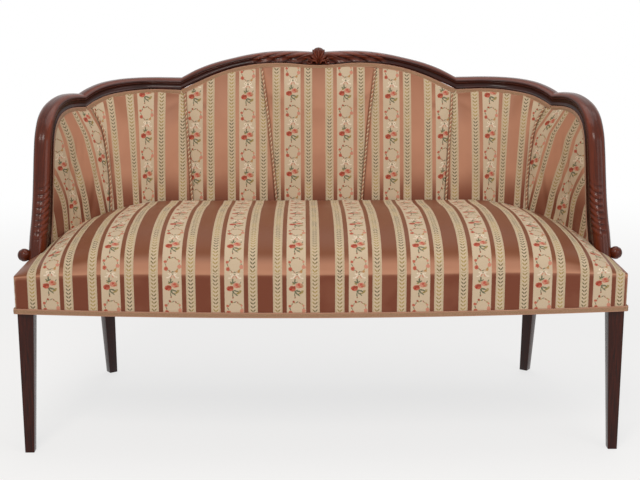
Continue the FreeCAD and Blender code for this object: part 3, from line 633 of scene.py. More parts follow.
@dataclass(frozen=True)
class Brocade(Finish):
    """Striped jacquard: rose satin, cream herringbone and an embroidered floral stripe.

    The rose satin has light and shade painted into its colour by which way it faces: painted light where it
    faces a little upwards, painted shade where it faces level, where it faces down and where it faces straight
    up, and painted shade towards the crease above the seat. The cream ground has none. Widths were read off
    the photograph's seat front.
    """

    name: str = "striped_brocade"
    slot: str = "striped_fabric"
    period: float = 128.5
    wide_half: float = 16.5
    herringbone: float = 19.0
    narrow: float = 9.25
    repeat: float = 96.0
    # painted light and shade: the satin's lit colour, its shaded colour, and the darker colour painted where
    # it faces up
    rose_lit: str = "C18B6F"
    rose_shaded: str = "703724"
    rose_painted_top_shade: str = "754228"

    def build(self, graph: Graph) -> bpy.types.Material:
        """Makes the material in an empty graph."""
        add, calc, blend = graph.add, graph.calc, graph.blend
        place = graph.flat()
        xyz = add("SeparateXYZ", place)
        across, along = xyz.outputs[0], xyz.outputs[1]
        # the stripes' edges step by a thread, every 2.6 mm
        step = calc("MULTIPLY", calc("LESS_THAN", calc("FLOORED_MODULO", along, 2.6), 1.3), 0.8)
        off = calc("ADD", calc("PINGPONG", across, self.period / 2), step)
        edge1, edge2 = self.wide_half, self.wide_half + self.herringbone
        edge3 = edge2 + self.narrow
        first = calc("LESS_THAN", off, edge1)
        third = calc("MULTIPLY", calc("GREATER_THAN", off, edge2), calc("LESS_THAN", off, edge3))
        rose = add("Math", first, third, operation="ADD", use_clamp=True)
        floral = calc("GREATER_THAN", off, edge3)
        bone = calc("GREATER_THAN", calc("SUBTRACT", calc("SUBTRACT", 1.0, rose), floral), 0.5)

        # satin: painted light and shade by which way it faces, and fine ribs of weft
        facing = add("SeparateXYZ", add("NewGeometry").outputs["Normal"])
        sideways = calc("MULTIPLY", calc("ABSOLUTE", facing.outputs[0]), 0.2)
        shade = calc("ADD", facing.outputs[2], sideways)
        shade = add("MapRange", shade, 0.03, 0.25, 0.0, 1.0, interpolation_type="SMOOTHSTEP")
        # painted shade where the satin faces up
        top = add("MapRange", facing.outputs[2], 0.12, 0.72, 0.0, 1.0, interpolation_type="SMOOTHSTEP")
        cloud = add("TexNoise", place, Scale=0.012, Detail=3.0)
        shade = add(
            "Math", shade, add("MapRange", cloud, 0.35, 0.65, -0.08, 0.08), operation="ADD", use_clamp=True
        )
        ribs = add("TexWave", place, Scale=0.32, Distortion=0.6, wave_type="BANDS", bands_direction="Y")
        satin = blend(shade, linear(self.rose_shaded), linear(self.rose_lit))
        satin = blend(top, satin, linear(self.rose_painted_top_shade))
        # painted shade towards the crease above the seat, from the back channels' attribute
        deep = add("Attribute", attribute_name="worn").outputs["Fac"]
        satin = blend(deep, satin, linear(self.rose_shaded))
        satin = blend(add("MapRange", ribs, 0, 1, 0, 0.10), satin, linear("E0AE96"))

        # cream ground with a fine twill
        slub = add("TexNoise", place, Scale=0.5, Detail=4.0, Roughness=0.7)
        cream = blend(slub, linear("BCA68B"), linear("DDCAAE"))

        # herringbone: rows of slanting ticks that meet on the stripe's middle, every 8 mm
        side = calc("ABSOLUTE", calc("SUBTRACT", off, (edge1 + edge2) / 2))
        slanted = calc("SUBTRACT", along, calc("MULTIPLY", side, 0.95))
        row = calc("FLOORED_MODULO", slanted, 8.0)
        tick = calc("MULTIPLY", calc("LESS_THAN", row, 3.1), calc("LESS_THAN", side, 5.0))
        tick = calc("MULTIPLY", tick, calc("GREATER_THAN", side, 0.5))
        outer = calc(
            "MULTIPLY", calc("LESS_THAN", calc("FLOORED_MODULO", slanted, 2.8), 1.2),
            calc("GREATER_THAN", side, 6.3)
        )
        outer = calc("MULTIPLY", outer, calc("LESS_THAN", side, 8.2))
        hue = add("MapRange", add("TexNoise", place, Scale=0.018, Detail=1.0), 0.42, 0.58, 0.0, 1.0)
        thread = blend(hue, linear("5C5538"), linear("A88F4E"))
        boned = blend(tick, cream, thread)
        boned = blend(calc("MULTIPLY", outer, 0.7), boned, linear("A08C58"))

        # flowers, snapped to threads of 0.6 mm
        motif_x = calc("SUBTRACT", calc("FLOORED_MODULO", across, self.period), self.period / 2)
        motif_y = calc("SUBTRACT", calc("FLOORED_MODULO", along, self.repeat), 76.5)
        spot = add("CombineXYZ", motif_x, motif_y)
        ragged = add(
            "VectorMath", add("TexNoise", place, Scale=0.35, Detail=2.0).outputs["Color"], (0.5, 0.5, 0.5),
            operation="SUBTRACT"
        )
        spot = add(
            "VectorMath", spot, add("VectorMath", ragged, Scale=3.4, operation="SCALE"), operation="ADD"
        )
        spot = add("VectorMath", spot, (0.6, 0.6, 1), operation="SNAP")
        spot = add("VectorMath", spot, (1, 1, 0), operation="MULTIPLY")
        flowers = cream
        for number, s in enumerate((*wreath(), *BOW, *BOUQUET)):
            if number % 6 == 0:  # a hair's shift by the last colour makes the renderer work these out in turn
                spot = add("VectorMath", flowers, (1e-5, 1e-5, 0), spot, operation="MULTIPLY_ADD")
            local = add(
                "Mapping", spot, (s.x, s.y, 0), (0, 0, math.radians(s.turn)), (s.wide, s.high, 1),
                vector_type="TEXTURE"
            )
            inside = calc("LESS_THAN", add("VectorMath", local, operation="LENGTH"), 1.0)
            flowers = blend(inside, flowers, linear(s.colour))
        sewn = calc("GREATER_THAN", add("VectorMath", flowers, cream, operation="DISTANCE"), 0.03)

        colour = blend(bone, satin, boned)
        colour = blend(floral, colour, flowers)
        raised = calc("ADD", calc("MULTIPLY", sewn, floral), calc("MULTIPLY", tick, bone))
        height = calc(
            "ADD", calc("MULTIPLY", raised, 0.25),
            calc("MULTIPLY", calc("SUBTRACT", 1.0, rose), calc("MULTIPLY", slub, 0.5))
        )
        bump = add("Bump", 0.5, 0.0006, Height=height)
        rough = add("MapRange", rose, 0, 1, 0.8, 0.42)
        shader = add(
            "BsdfPrincipled", colour, Roughness=rough, Normal=bump, Sheen_Weight=0.03, Sheen_Roughness=0.4,
            Specular_IOR_Level=0.12
        )
        return graph.finish(shader)


@dataclass(frozen=True)
class Mahogany(Finish):
    """Mahogany, french polished: dark red-brown under a thin gloss, lighter on the edges, partly from rubbed
    wear and partly painted highlight.
    """

    name: str = "polished_mahogany"
    slot: str = "show_wood"
    dark: str = "1E0C08"
    middle: str = "45190F"
    rubbed_and_highlight: str = "84381A"

    def build(self, graph: Graph) -> bpy.types.Material:
        """Makes the material in an empty graph."""
        add, calc, blend = graph.add, graph.calc, graph.blend
        place = graph.flat()
        stretched = add("Mapping", place, (0, 0, 0), (0, 0, 0), (0.016, 0.35, 1))
        grain = add("TexNoise", stretched, Scale=1.0, Detail=6.0, Roughness=0.65, Distortion=0.6)
        pores = add(
            "TexNoise", add("Mapping", place, (0, 0, 0), (0, 0, 0), (0.12, 2.2, 1)), Scale=1.0, Detail=2.0
        )
        wood = blend(add("MapRange", grain, 0.35, 0.68, 0, 1), linear(self.dark), linear(self.middle))
        # lighter where the tone attribute is high: rubbed wear, partly painted highlight
        worn = add("Attribute", attribute_name="worn").outputs["Fac"]
        worn = calc("MULTIPLY", worn, add("MapRange", grain, 0.3, 0.7, 0.55, 1.0))
        wood = blend(worn, wood, linear(self.rubbed_and_highlight))
        wood = blend(add("MapRange", pores, 0.58, 0.72, 0, 0.5), wood, linear("1A0B08"))
        rough = add("MapRange", grain, 0.3, 0.7, 0.30, 0.20)
        bump = add("Bump", 0.15, 0.0003, Height=pores)
        shader = add(
            "BsdfPrincipled", wood, Roughness=rough, Normal=bump, IOR=1.5, Coat_Weight=0.16,
            Coat_Roughness=0.14, Specular_IOR_Level=0.15
        )
        return graph.finish(shader)


@dataclass(frozen=True)
class Beech(Finish):
    """Beech, sawn and left bare inside the frame: pale, with short darker flecks along the grain."""

    name: str = "sawn_beech"
    slot: str = "frame_wood"

    def build(self, graph: Graph) -> bpy.types.Material:
        """Makes the material in an empty graph."""
        add, blend = graph.add, graph.blend
        place = add("TexCoord").outputs["Object"]
        grain = add(
            "TexNoise", add("Mapping", place, (0, 0, 0), (0, 0, 0), (12, 160, 160)), Scale=1.0, Detail=5.0
        )
        flecks = add(
            "TexNoise", add("Mapping", place, (0, 0, 0), (0, 0, 0), (90, 700, 700)), Scale=1.0, Detail=1.0
        )
        wood = blend(grain, linear("A98055"), linear("D0A878"))
        wood = blend(add("MapRange", flecks, 0.6, 0.72, 0, 0.6), wood, linear("7C5532"))
        bump = add("Bump", 0.3, 0.0004, Height=grain)
        return graph.finish(add("BsdfPrincipled", wood, Roughness=0.65, Normal=bump, Specular_IOR_Level=0.3))


@dataclass(frozen=True)
class Woven(Finish):
    """Plain woven cloth of two thread colours, at the real thread spacing or as coarse as shows."""

    light: str = "9C7F55"
    deep: str = "6B532F"
    spacing: float = 1.6
    rough: float = 0.9
    sheen: float = 0.1

    def build(self, graph: Graph) -> bpy.types.Material:
        """Makes the material in an empty graph."""
        add, calc, blend = graph.add, graph.calc, graph.blend
        place = graph.flat()
        warp = add(
            "TexWave", place, Scale=0.314 / self.spacing, Distortion=1.2, Detail=2.0, bands_direction="X"
        )
        weft = add(
            "TexWave", place, Scale=0.314 / self.spacing, Distortion=1.2, Detail=2.0, bands_direction="Y"
        )
        weave = calc("MULTIPLY", warp, weft)
        slub = add("TexNoise", place, Scale=0.08, Detail=3.0)
        cloth = blend(weave, linear(self.deep), linear(self.light))
        cloth = blend(add("MapRange", slub, 0.3, 0.7, 0, 0.4), cloth, linear(self.deep))
        bump = add("Bump", 0.5, 0.0005, Height=weave)
        shader = add(
            "BsdfPrincipled", cloth, Roughness=self.rough, Normal=bump, Sheen_Weight=self.sheen,
            Specular_IOR_Level=0.2
        )
        return graph.finish(shader)


@dataclass(frozen=True)
class Braid(Finish):
    """Gimp: rayon cords plaited into a flat braid, pink at its picot edges, with gold between, and each strand
    painted light on its crown and dark brown at its edges, painted shade between the strands.
    """

    name: str = "plaited_gimp"
    slot: str = "braid"
    width: float = 10.5

    def build(self, graph: Graph) -> bpy.types.Material:
        """Makes the material in an empty graph."""
        add, calc, blend = graph.add, graph.calc, graph.blend
        place = graph.flat()
        xyz = add("SeparateXYZ", place)
        # two plaits, 3.2 mm from strand to strand
        side = calc("ABSOLUTE", calc("SUBTRACT", xyz.outputs[1], self.width / 2))
        slant = calc("FLOORED_MODULO", calc("ADD", xyz.outputs[0], calc("MULTIPLY", side, 1.1)), 3.2)
        strand = add("MapRange", slant, 0.0, 3.2, 0.0, 1.0)
        round_ = calc("SINE", calc("MULTIPLY", strand, math.pi))
        noise = add("TexNoise", place, Scale=0.3, Detail=2.0)
        # painted light and shade on each strand: light on its crown, dark brown where it meets the next strand
        colour = blend(round_, linear("5E3A2A"), linear("BE9676"))
        colour = blend(add("MapRange", noise, 0.45, 0.6, 0, 0.55), colour, linear("947048"))
        edge = calc("GREATER_THAN", side, self.width / 2 - 1.9)
        colour = blend(calc("MULTIPLY", edge, 0.8), colour, linear("BE8C72"))
        bump = add("Bump", 0.6, 0.0006, Height=round_)
        shader = add(
            "BsdfPrincipled", colour, Roughness=0.6, Normal=bump, Sheen_Weight=0.2, Specular_IOR_Level=0.35
        )
        return graph.finish(shader)


@dataclass(frozen=True)
class Rope(Finish):
    """Twisted cord: spun rayon strands, one cream and the others brown, with a soft lustre."""

    name: str = "twisted_cord"
    slot: str = "rope_cord"
    light: str = "E0CBA8"
    deep: str = "A5684C"

    def build(self, graph: Graph) -> bpy.types.Material:
        """Makes the material in an empty graph."""
        add, blend = graph.add, graph.blend
        place = graph.flat()
        fibre = add(
            "TexNoise", add("Mapping", place, (0, 0, 0), (0, 0, 0), (2.0, 0.3, 1)), Scale=1.0, Detail=2.0
        )
        tone = add("Attribute", attribute_name="worn").outputs["Fac"]
        colour = blend(tone, linear(self.deep), linear(self.light))
        colour = blend(add("MapRange", fibre, 0.4, 0.7, 0, 0.2), colour, linear("7A5040"))
        bump = add("Bump", 0.4, 0.0003, Height=fibre)
        shader = add(
            "BsdfPrincipled", colour, Roughness=0.5, Normal=bump, Sheen_Weight=0.2, Specular_IOR_Level=0.35
        )
        return graph.finish(shader)


@dataclass(frozen=True)
class SpringSteel(Finish):
    """Drawn spring wire, lightly oxidised: dull grey with a brownish cast."""

    name: str = "drawn_spring_wire"
    slot: str = "spring_steel"

    def build(self, graph: Graph) -> bpy.types.Material:
        """Makes the material in an empty graph."""
        add, blend = graph.add, graph.blend
        cloud = add("TexNoise", add("TexCoord").outputs["Object"], Scale=60.0, Detail=3.0)
        colour = blend(add("MapRange", cloud, 0.4, 0.7, 0, 1), linear("8B8781"), linear("6A5546"))
        rough = add("MapRange", cloud, 0.4, 0.7, 0.35, 0.6)
        return graph.finish(add("BsdfPrincipled", colour, 1.0, Roughness=rough))


BROCADE, MAHOGANY, BEECH, BRAID, ROPE, STEEL = Brocade(), Mahogany(), Beech(), Braid(), Rope(), SpringSteel()
BURLAP = Woven("jute_burlap", "burlap", "A3855A", "6B532F", 2.2)
WEBBING = Woven("jute_webbing", "webbing", "8C744E", "5A4528", 1.8)
DUST_CLOTH = Woven("black_cambric", "dust_cloth", "1C1B1A", "0D0C0C", 1.0, 0.85, 0.05)


# The show wood


@dataclass
class ShowWood:
    """Crest, shoulders and arms: one moulded run of carved mahogany with a scroll at each foot."""

    thickness: float = 39.0
    step: float = 2.6
    carved_step: float = 1.5
    crest_carved_to: float = 172.0
    leaf_pitch: float = 38.0
    leaf_slant: float = 78.0
    leaf_height: float = 2.8
    husk_pitch: float = 15.0
    husk_slant: float = 60.0
    husk_height: float = 1.3
    husk_from: float = 432.0
    husk_to: float = 570.0
    scroll_radius: float = 14.5
    scroll_place: tuple[float, float, float] = (888.0, 405.0, -9.0)

    def outline(self) -> Array:
        """Moulding across the wood, as shares of width and thickness, from its inner edge round."""
        points: list[Pair] = [(0, i * 0.93 / 5) for i in range(5)]
        points += arc((0, 0.93), (0.012, 0.962), (0.045, 0.975), 3)
        points += arc((0.045, 0.975), (0.27, 0.87), (0.52, 0.93), 10)
        points += arc((0.52, 0.93), (0.555, 0.965), (0.59, 0.945), 4)
        points += arc((0.59, 0.945), (0.69, 0.99), (0.80, 0.935), 6)
        points += arc((0.80, 0.935), (0.95, 0.75), (1, 0.42), 10)
        points += arc((1, 0.42), (0.96, 0.15), (0.8, 0), 6)
        points += [(0.8 * (1 - i / 5), 0) for i in range(6)]
        return np.array(points)

    def carve_crest(self, u: Array, z: Array, share: Array, way: Array) -> Array:
        """Height of the acanthus leaves that sweep out from the shell."""
        a = np.abs(u)
        lobe = np.mod((a + self.leaf_slant * np.maximum(share, 0) ** 1.3 - 12) / self.leaf_pitch, 1)
        leaf = np.sin(math.pi * lobe**0.75) ** 0.7 * self.leaf_height + 0.6 * np.abs(
            np.sin(3 * math.pi * lobe)
        )
        fade = ease((self.crest_carved_to - a) / 22) * ease((a - 16) / 10) * ease((share - 0.05) / 0.12)
        return (leaf - 1.4) * fade * ease((0.99 - share) / 0.1)

    def carve_arm(self, u: Array, z: Array, share: Array, way: Array) -> Array:
        """Height of the husks down the outer edge of the front post."""
        lobe = np.mod((way - self.husk_slant * share) / self.husk_pitch, 1)
        husk = np.sin(math.pi * lobe**1.4) ** 0.8 * self.husk_height + 0.5 * np.abs(
            np.sin(3 * math.pi * lobe)
        )
        fade = ease((self.husk_to - z) / 40) * ease((z - self.husk_from) / 22) * ease((share - 0.64) / 0.1)
        return (husk - 1.0) * fade

    def rail(
        self, name: str, chain: Chain, step: float, carve: Callable[..., Array] | None
    ) -> bpy.types.Object:
        """One run of the moulding.

        Args:
            name: Name of the piece.
            chain: Where it runs.
            step: Distance between its sections.
            carve: Height of the carving at u, z, share and way, or None.

        Returns:
            The rail, closed at both ends.
        """
        outline = self.outline()
        rows = max(2, round(chain.length / step))
        obj, around, along = grid(name, len(outline) - 1, rows)
        index = np.rint(around * (len(outline) - 1)).astype(int)
        share, depth = outline[index, 0], outline[index, 1] * self.thickness
        way = along * chain.length
        u0, z0 = chain.at(way, np.zeros(len(way)))
        u1, z1 = chain.at(way, np.ones(len(way)))
        width = np.hypot(u1 - u0, z1 - z0)
        u, z = lerp(u0, u1, share), lerp(z0, z1, share)
        # lighter on the outer nose and in a thin line along the bead: rubbed wear, partly painted highlight
        worn = 0.75 * np.exp(-(((share - 0.9) / 0.11) ** 2)) * (depth > 4) + 0.35 * np.exp(
            -(((share - 0.56) / 0.025) ** 2)
        )
        if carve is not None:
            turn = np.roll(outline, -1, 0) - np.roll(outline, 1, 0)
            turn[0] = turn[-1] = (0, 1)
            normal = np.stack([-turn[:, 1] * self.thickness, turn[:, 0] * 36], -1)
            normal /= np.maximum(np.linalg.norm(normal, axis=1), 1e-6)[:, None]
            front = ease((outline[:, 1] - 0.18) / 0.3)
            height = carve(u, z, share, way) * front[index]
            share = share + normal[index, 0] * height / width
            depth = depth + normal[index, 1] * height
            u, z = lerp(u0, u1, share), lerp(z0, z1, share)
            # the carving's raised parts lighter: rubbed wear, partly painted highlight
            worn = np.clip(worn + np.clip(height, -1.5, 2) * 0.32, 0, 1)
        set_coordinates(obj, WALL.point(u, z, depth))
        girth = np.concatenate(
            [[0], np.cumsum(np.hypot(np.diff(outline[:, 0]) * 30, np.diff(outline[:, 1]) * self.thickness))]
        )
        set_flat_map(obj, way, girth[index])
        set_tone_wear_and_painted_light(obj, worn)
        close_up(obj)
        smooth_shade(obj, 50)
        return obj

    def scroll(self) -> bpy.types.Object:
        """The turned ball of the scroll at the foot of the left arm, with a shallow groove round it."""
        obj, around, along = grid("scroll", 40, 28)
        tilt, turn = along * math.pi, around * 2 * math.pi
        radius = self.scroll_radius * (1 - 0.05 * np.exp(-(((along - 0.66) / 0.035) ** 2)))
        centre = WALL.point(*self.scroll_place)
        ball = np.stack([np.cos(tilt), np.sin(tilt) * np.cos(turn), np.sin(tilt) * np.sin(turn)], -1)
        set_coordinates(obj, centre + ball * radius[:, None])
        set_flat_map(obj, along * 40, around * 60)
        set_tone_wear_and_painted_light(obj, 0.25 + 0.2 * np.exp(-(((along - 0.4) / 0.2) ** 2)))
        close_up(obj)
        smooth_shade(obj)
        return obj

    def petal(
        self, u: float, z: float, t: float, size: tuple[float, float, float], lean: float
    ) -> bpy.types.Object:
        """One swelling lobe of the shell.

        Args:
            u: Place of its middle along the wall.
            z: Height of its middle.
            t: Depth of its middle.
            size: Half its width, length and depth.
            lean: Turn from upright in degrees, towards positive u.

        Returns:
            The lobe.
        """
        obj, around, along = grid("petal", 16, 12)
        tilt, turn, lean = along * math.pi, around * 2 * math.pi, math.radians(lean)
        a = size[0] * np.sin(tilt) * np.cos(turn) * (0.62 + 0.38 * along)
        b = -size[1] * np.cos(tilt)
        c = size[2] * np.sin(tilt) * np.sin(turn)
        set_coordinates(
            obj,
            WALL.point(
                u + a * math.cos(lean) + b * math.sin(lean), z + b * math.cos(lean) - a * math.sin(lean),
                t + c
            )
        )
        set_flat_map(obj, b + 20, a + 10)
        # lighter towards the front of each lobe: rubbed wear, partly painted highlight
        set_tone_wear_and_painted_light(obj, np.clip(0.15 + 0.6 * c / size[2], 0, 1))
        close_up(obj)
        smooth_shade(obj)
        return obj

    def shell(self) -> list[bpy.types.Object]:
        """The fan shell over the crest's dip, its stem, and the volutes and leaves on both sides of it."""
        foot, rise, radius = 802.5, 12.0, 21.5
        pieces = [self.petal(0, foot + rise, 26, (radius - 1.5, radius - 1, 14), 0)]
        for degrees in range(-81, 82, 27):
            turn = math.radians(degrees)
            reach = rise * math.cos(turn) + math.sqrt(radius**2 - (rise * math.sin(turn)) ** 2)
            half = reach / 2 - 1
            u, z = (half + 2) * math.sin(turn), foot + (half + 2) * math.cos(turn)
            pieces.append(self.petal(u, z, 37.0, (4.9, half, 7.5), degrees))
        for side in (1, -1):
            pieces.append(self.petal(side * 6.0, 801.5, 39.0, (3.0, 7.0, 4.5), side * 28))
            leaf = [(4, 803), (6, 811), (14, 816.5), (26, 817.5), (40, 813.5), (54, 807)]
            line = np.array([(side * u, z) for u, z in leaf], float)
            way = np.linspace(0, 5, 40)
            path = smooth(np.arange(6.0), line, way)
            size = 1.0 + 2.9 * np.sin(math.pi * np.clip(way / 5, 0, 1)) ** 0.8
            pieces.append(tube("leaf", WALL.point(path[:, 0], path[:, 1], 39.0), size, 10))
            turn = np.linspace(0, 2.6 * math.pi, 44)
            curl = 7.6 * (1 - 0.68 * turn / turn[-1])
            u, z = side * (23 - curl * np.sin(turn - 0.4)), 801.5 + curl * np.cos(turn - 0.4)
            pieces.append(tube("volute", WALL.point(u, z, 38.6), 2.5 - 0.9 * turn / turn[-1], 10))
        for piece in pieces:
            if "worn" not in piece.data.attributes:
                set_tone_wear_and_painted_light(piece, 0.45)
        return pieces

    def build(self) -> None:
        """Makes the five rails and dresses them."""
        crest = self.rail("crest_rail_carved", CREST.mirrored(), self.carved_step, self.carve_crest)
        crest = join("crest_rail_carved", [crest, *self.shell()])
        seat_piece(crest, MAHOGANY, ["crest_rail"])
        shoulder = self.rail("left_shoulder_rail_moulded", SHOULDER, self.step, None)
        arm = self.rail("left_arm_rail_carved", ARM, self.carved_step, self.carve_arm)
        arm = join("left_arm_rail_carved", [arm, self.scroll()])
        right = copy_mirrored(
            shoulder, "right_shoulder_rail_moulded"
        ), copy_mirrored(arm, "right_arm_rail_carved")
        for piece, node in ((shoulder, "left_shoulder_rail"), (arm, "left_arm_rail")):
            seat_piece(piece, MAHOGANY, [node])
        for piece, node in zip(right, ("right_shoulder_rail", "right_arm_rail")):
            seat_piece(piece, MAHOGANY, [node])


@dataclass
class Legs:
    """Square tapered front legs, and rear posts with raked legs and stiles that go up inside the back."""

    inset: float = 4.3
    block_top: float = 388.0
    underside: float = 313.0
    front_top: float = 34.0
    front_foot: float = 20.0
    rear_top: float = 32.0
    rear_foot: float = 21.0
    rake: float = 113.0
    splay: float = 11.0
    post_turn: float = 35.0
    stile_depth: tuple[float, float] = (2.3, 26.3)
    edge: float = 1.3

    def square(self, name: str, corners: Array) -> bpy.types.Object:
        """A post through square sections.

        Args:
            name: Name of the piece.
            corners: Sections by four corners by x, y and z.

        Returns:
            The post, with rounded edges.
        """
        rows = len(corners) - 1
        obj, around, along = grid(name, 4, rows)
        i, k = np.rint(along * rows).astype(int), np.rint(around * 4).astype(int) % 4
        set_coordinates(obj, corners[i, k])
        close_up(obj)
        modify(
            obj, "BEVEL", width=self.edge * MM, segments=3, limit_method="ANGLE", angle_limit=math.radians(50)
        )
        points = coordinates(obj)
        set_flat_map(obj, points[:, 2], points[:, 0] + points[:, 1])
        lone = np.abs(points[:, 2] - np.round(points[:, 2]))
        set_tone_wear_and_painted_light(obj, 0.04 + 0 * lone)
        smooth_shade(obj, 35)
        return obj

    def front_leg(self) -> bpy.types.Object:
        """Left front leg, tapered on its two inner faces below the seat."""
        x, y = -WALL.half_width + self.inset, float(WALL.front(WALL.half_width)) + self.inset
        sections = []
        for z in (0, 60, 120, 180, 240, self.underside, self.block_top):
            side = lerp(self.front_foot, self.front_top, min(z / self.underside, 1))
            sections.append([(x, y, z), (x + side, y, z), (x + side, y + side, z), (x, y + side, z)])
        return self.square("left_front_leg_tapered", np.array(sections, float))

    def rear_post(self) -> bpy.types.Object:
        """Left rear post: the raked leg, the block and the stile."""
        at = WALL.corner_start + WALL.corner_radius * math.radians(self.post_turn)
        turn = math.radians(self.post_turn)
        out, side = np.array([-math.sin(turn), math.cos(turn)]), np.array([-math.cos(turn), -math.sin(turn)])
        middle = WALL.point(at, 0, 0)[:2] - out * (self.inset + self.rear_top / 2)
        signs = ((-1, -1), (1, -1), (1, 1), (-1, 1))
        sections = []
        for share in (1, 0.9, 0.8, 0.7, 0.6, 0.5, 0.4, 0.3, 0.2, 0.1, 0.04, 0):
            rake, size = share**1.2, lerp(self.rear_top, self.rear_foot, share) / 2
            place = middle + (-self.splay * rake, self.rake * rake)
            sections.append(
                [
                    (*(place + side * a * size + out * b * size), self.underside * (1 - share)) for a,
                    b in signs
                ]
            )
        sections.append([(x, y, self.block_top) for x, y, _ in sections[-1]])
        leg = self.square("left_rear_post_raked", np.array(sections))
        top = float(inner_height(np.array([at + self.rear_top / 2]))[0]) - 0.1
        t0, t1 = self.stile_depth
        half = self.rear_top / 2
        stile = [
            [
                WALL.point(at + a * half, z, t0 if b > 0 else t1) for a, b in signs
            ] for z in np.linspace(self.block_top - 4, top, 9)
        ]
        return join("left_rear_post_raked", [leg, self.square("stile", np.array(stile))])

    def build(self) -> None:
        """Makes the four posts and dresses them."""
        for piece, node in ((self.front_leg(), "front_leg"), (self.rear_post(), "rear_post")):
            twin = copy_mirrored(piece, piece.name.replace("left", "right"))
            seat_piece(piece, MAHOGANY, ["left_" + node])
            seat_piece(twin, MAHOGANY, ["right_" + node])


# Padding and cloth


def coons(bottom: Array, top: Array, left: Array, right: Array) -> Array:
    """Grid between four edges.

    Args:
        bottom: Points of the lower edge, one for each column.
        top: Points of the upper edge.
        left: Points of the left edge, one for each row.
        right: Points of the right edge.

    Returns:
        Points by column and row.
    """
    s, t = np.linspace(0, 1, len(bottom))[:, None, None], np.linspace(0, 1, len(left))[None, :, None]
    flat = lerp(bottom[:, None], top[:, None], t) + lerp(left[None], right[None], s)
    corners = lerp(lerp(bottom[0], bottom[-1], s), lerp(top[0], top[-1], s), t)
    return flat - corners


def seam_top(seam: Sequence[Pair], gap: float) -> float:
    """Height at which a seam meets the show wood, less the gap."""
    z = seam[-1][0]
    for _ in range(5):
        z = float(inner_height(seam_at(seam, [z]))[0]) - gap
    return z


def back_panel(
    near: tuple, far: tuple, low: float, gap: float, columns: int, rows: int, seam_gap: float = 0.5
) -> Array:
    """Places on the wall between two seams of the back.

    Args:
        near: The seam with the smaller u, and its side.
        far: The seam with the larger u, and its side.
        low: Height of the lower edge.
        gap: Distance kept from the show wood.
        columns: Number of columns of points.
        rows: Number of rows of points.
        seam_gap: Room between two neighbours.

    Returns:
        u and z by column and row.
    """
    edges = []
    for (seam, side), shift in ((near, seam_gap / 2), (far, -seam_gap / 2)):
        z = np.linspace(low, seam_top(seam, gap), rows)
        edges.append(np.stack([side * seam_at(seam, z) + shift, z], -1))
    s = np.linspace(0, 1, columns)
    bottom = np.stack([lerp(edges[0][0, 0], edges[1][0, 0], s), np.full(columns, low)], -1)
    u = lerp(edges[0][-1, 0], edges[1][-1, 0], s)
    return coons(bottom, np.stack([u, inner_height(u) - gap], -1), *edges)


def wing_panel(
    seam: Sequence[Pair], low: float, gap: float, columns: int, rows: int, split: float = 0.4
) -> Array:
    """Places on the wall between the left wing's seam and the arm, as back_panel gives them."""
    z = np.linspace(low, seam_top(seam, gap), rows)
    left = np.stack([seam_at(seam, z) + 0.25, z], -1)
    edge = np.array([(left[-1, 0], float(inner_height(left[-1:, 0])[0])), *ARM.inner])
    edge = edge[np.concatenate([[True], np.diff(edge[:, 0]) > 0.5])]
    knots = np.concatenate([[0], np.cumsum(np.hypot(*np.diff(edge, axis=0).T))])
    ways = [np.linspace(0, split, columns), 1 - (1 - split) * np.linspace(0, 1, rows)]
    lines = []
    for share in ways:
        here, ahead = smooth(knots, edge, share * knots[-1]), smooth(
            knots, edge, np.clip(share * knots[-1] + 1, 0, knots[-1])
        )
        back = smooth(knots, edge, np.clip(share * knots[-1] - 1, 0, knots[-1]))
        turn = (ahead - back) / np.linalg.norm(ahead - back, axis=1)[:, None]
        lines.append(here + np.stack([turn[:, 1], -turn[:, 0]], -1) * gap)
    high, right = lines
    slope = (ARM.inner[-1][0] - ARM.inner[-2][0]) / (ARM.inner[-2][1] - ARM.inner[-1][1])
    high[0] = left[-1]
    right[0] = (right[0, 0] - (low - right[0, 1]) * slope, low)
    right[-1] = high[-1]
    bottom = np.stack([np.linspace(left[0, 0], right[0, 0], columns), np.full(columns, low)], -1)
    return coons(bottom, high, left, right)


@dataclass(frozen=True)
class Lay:
    """How the cloth lies on a channel.

    The middle of a wide rose stripe is at this distance from the settee's middle, low down, and goes outwards
    by slope for each millimetre of height. The flowers are moved down by up.
    """

    at: float
    up: float
    slope: float = 0.0


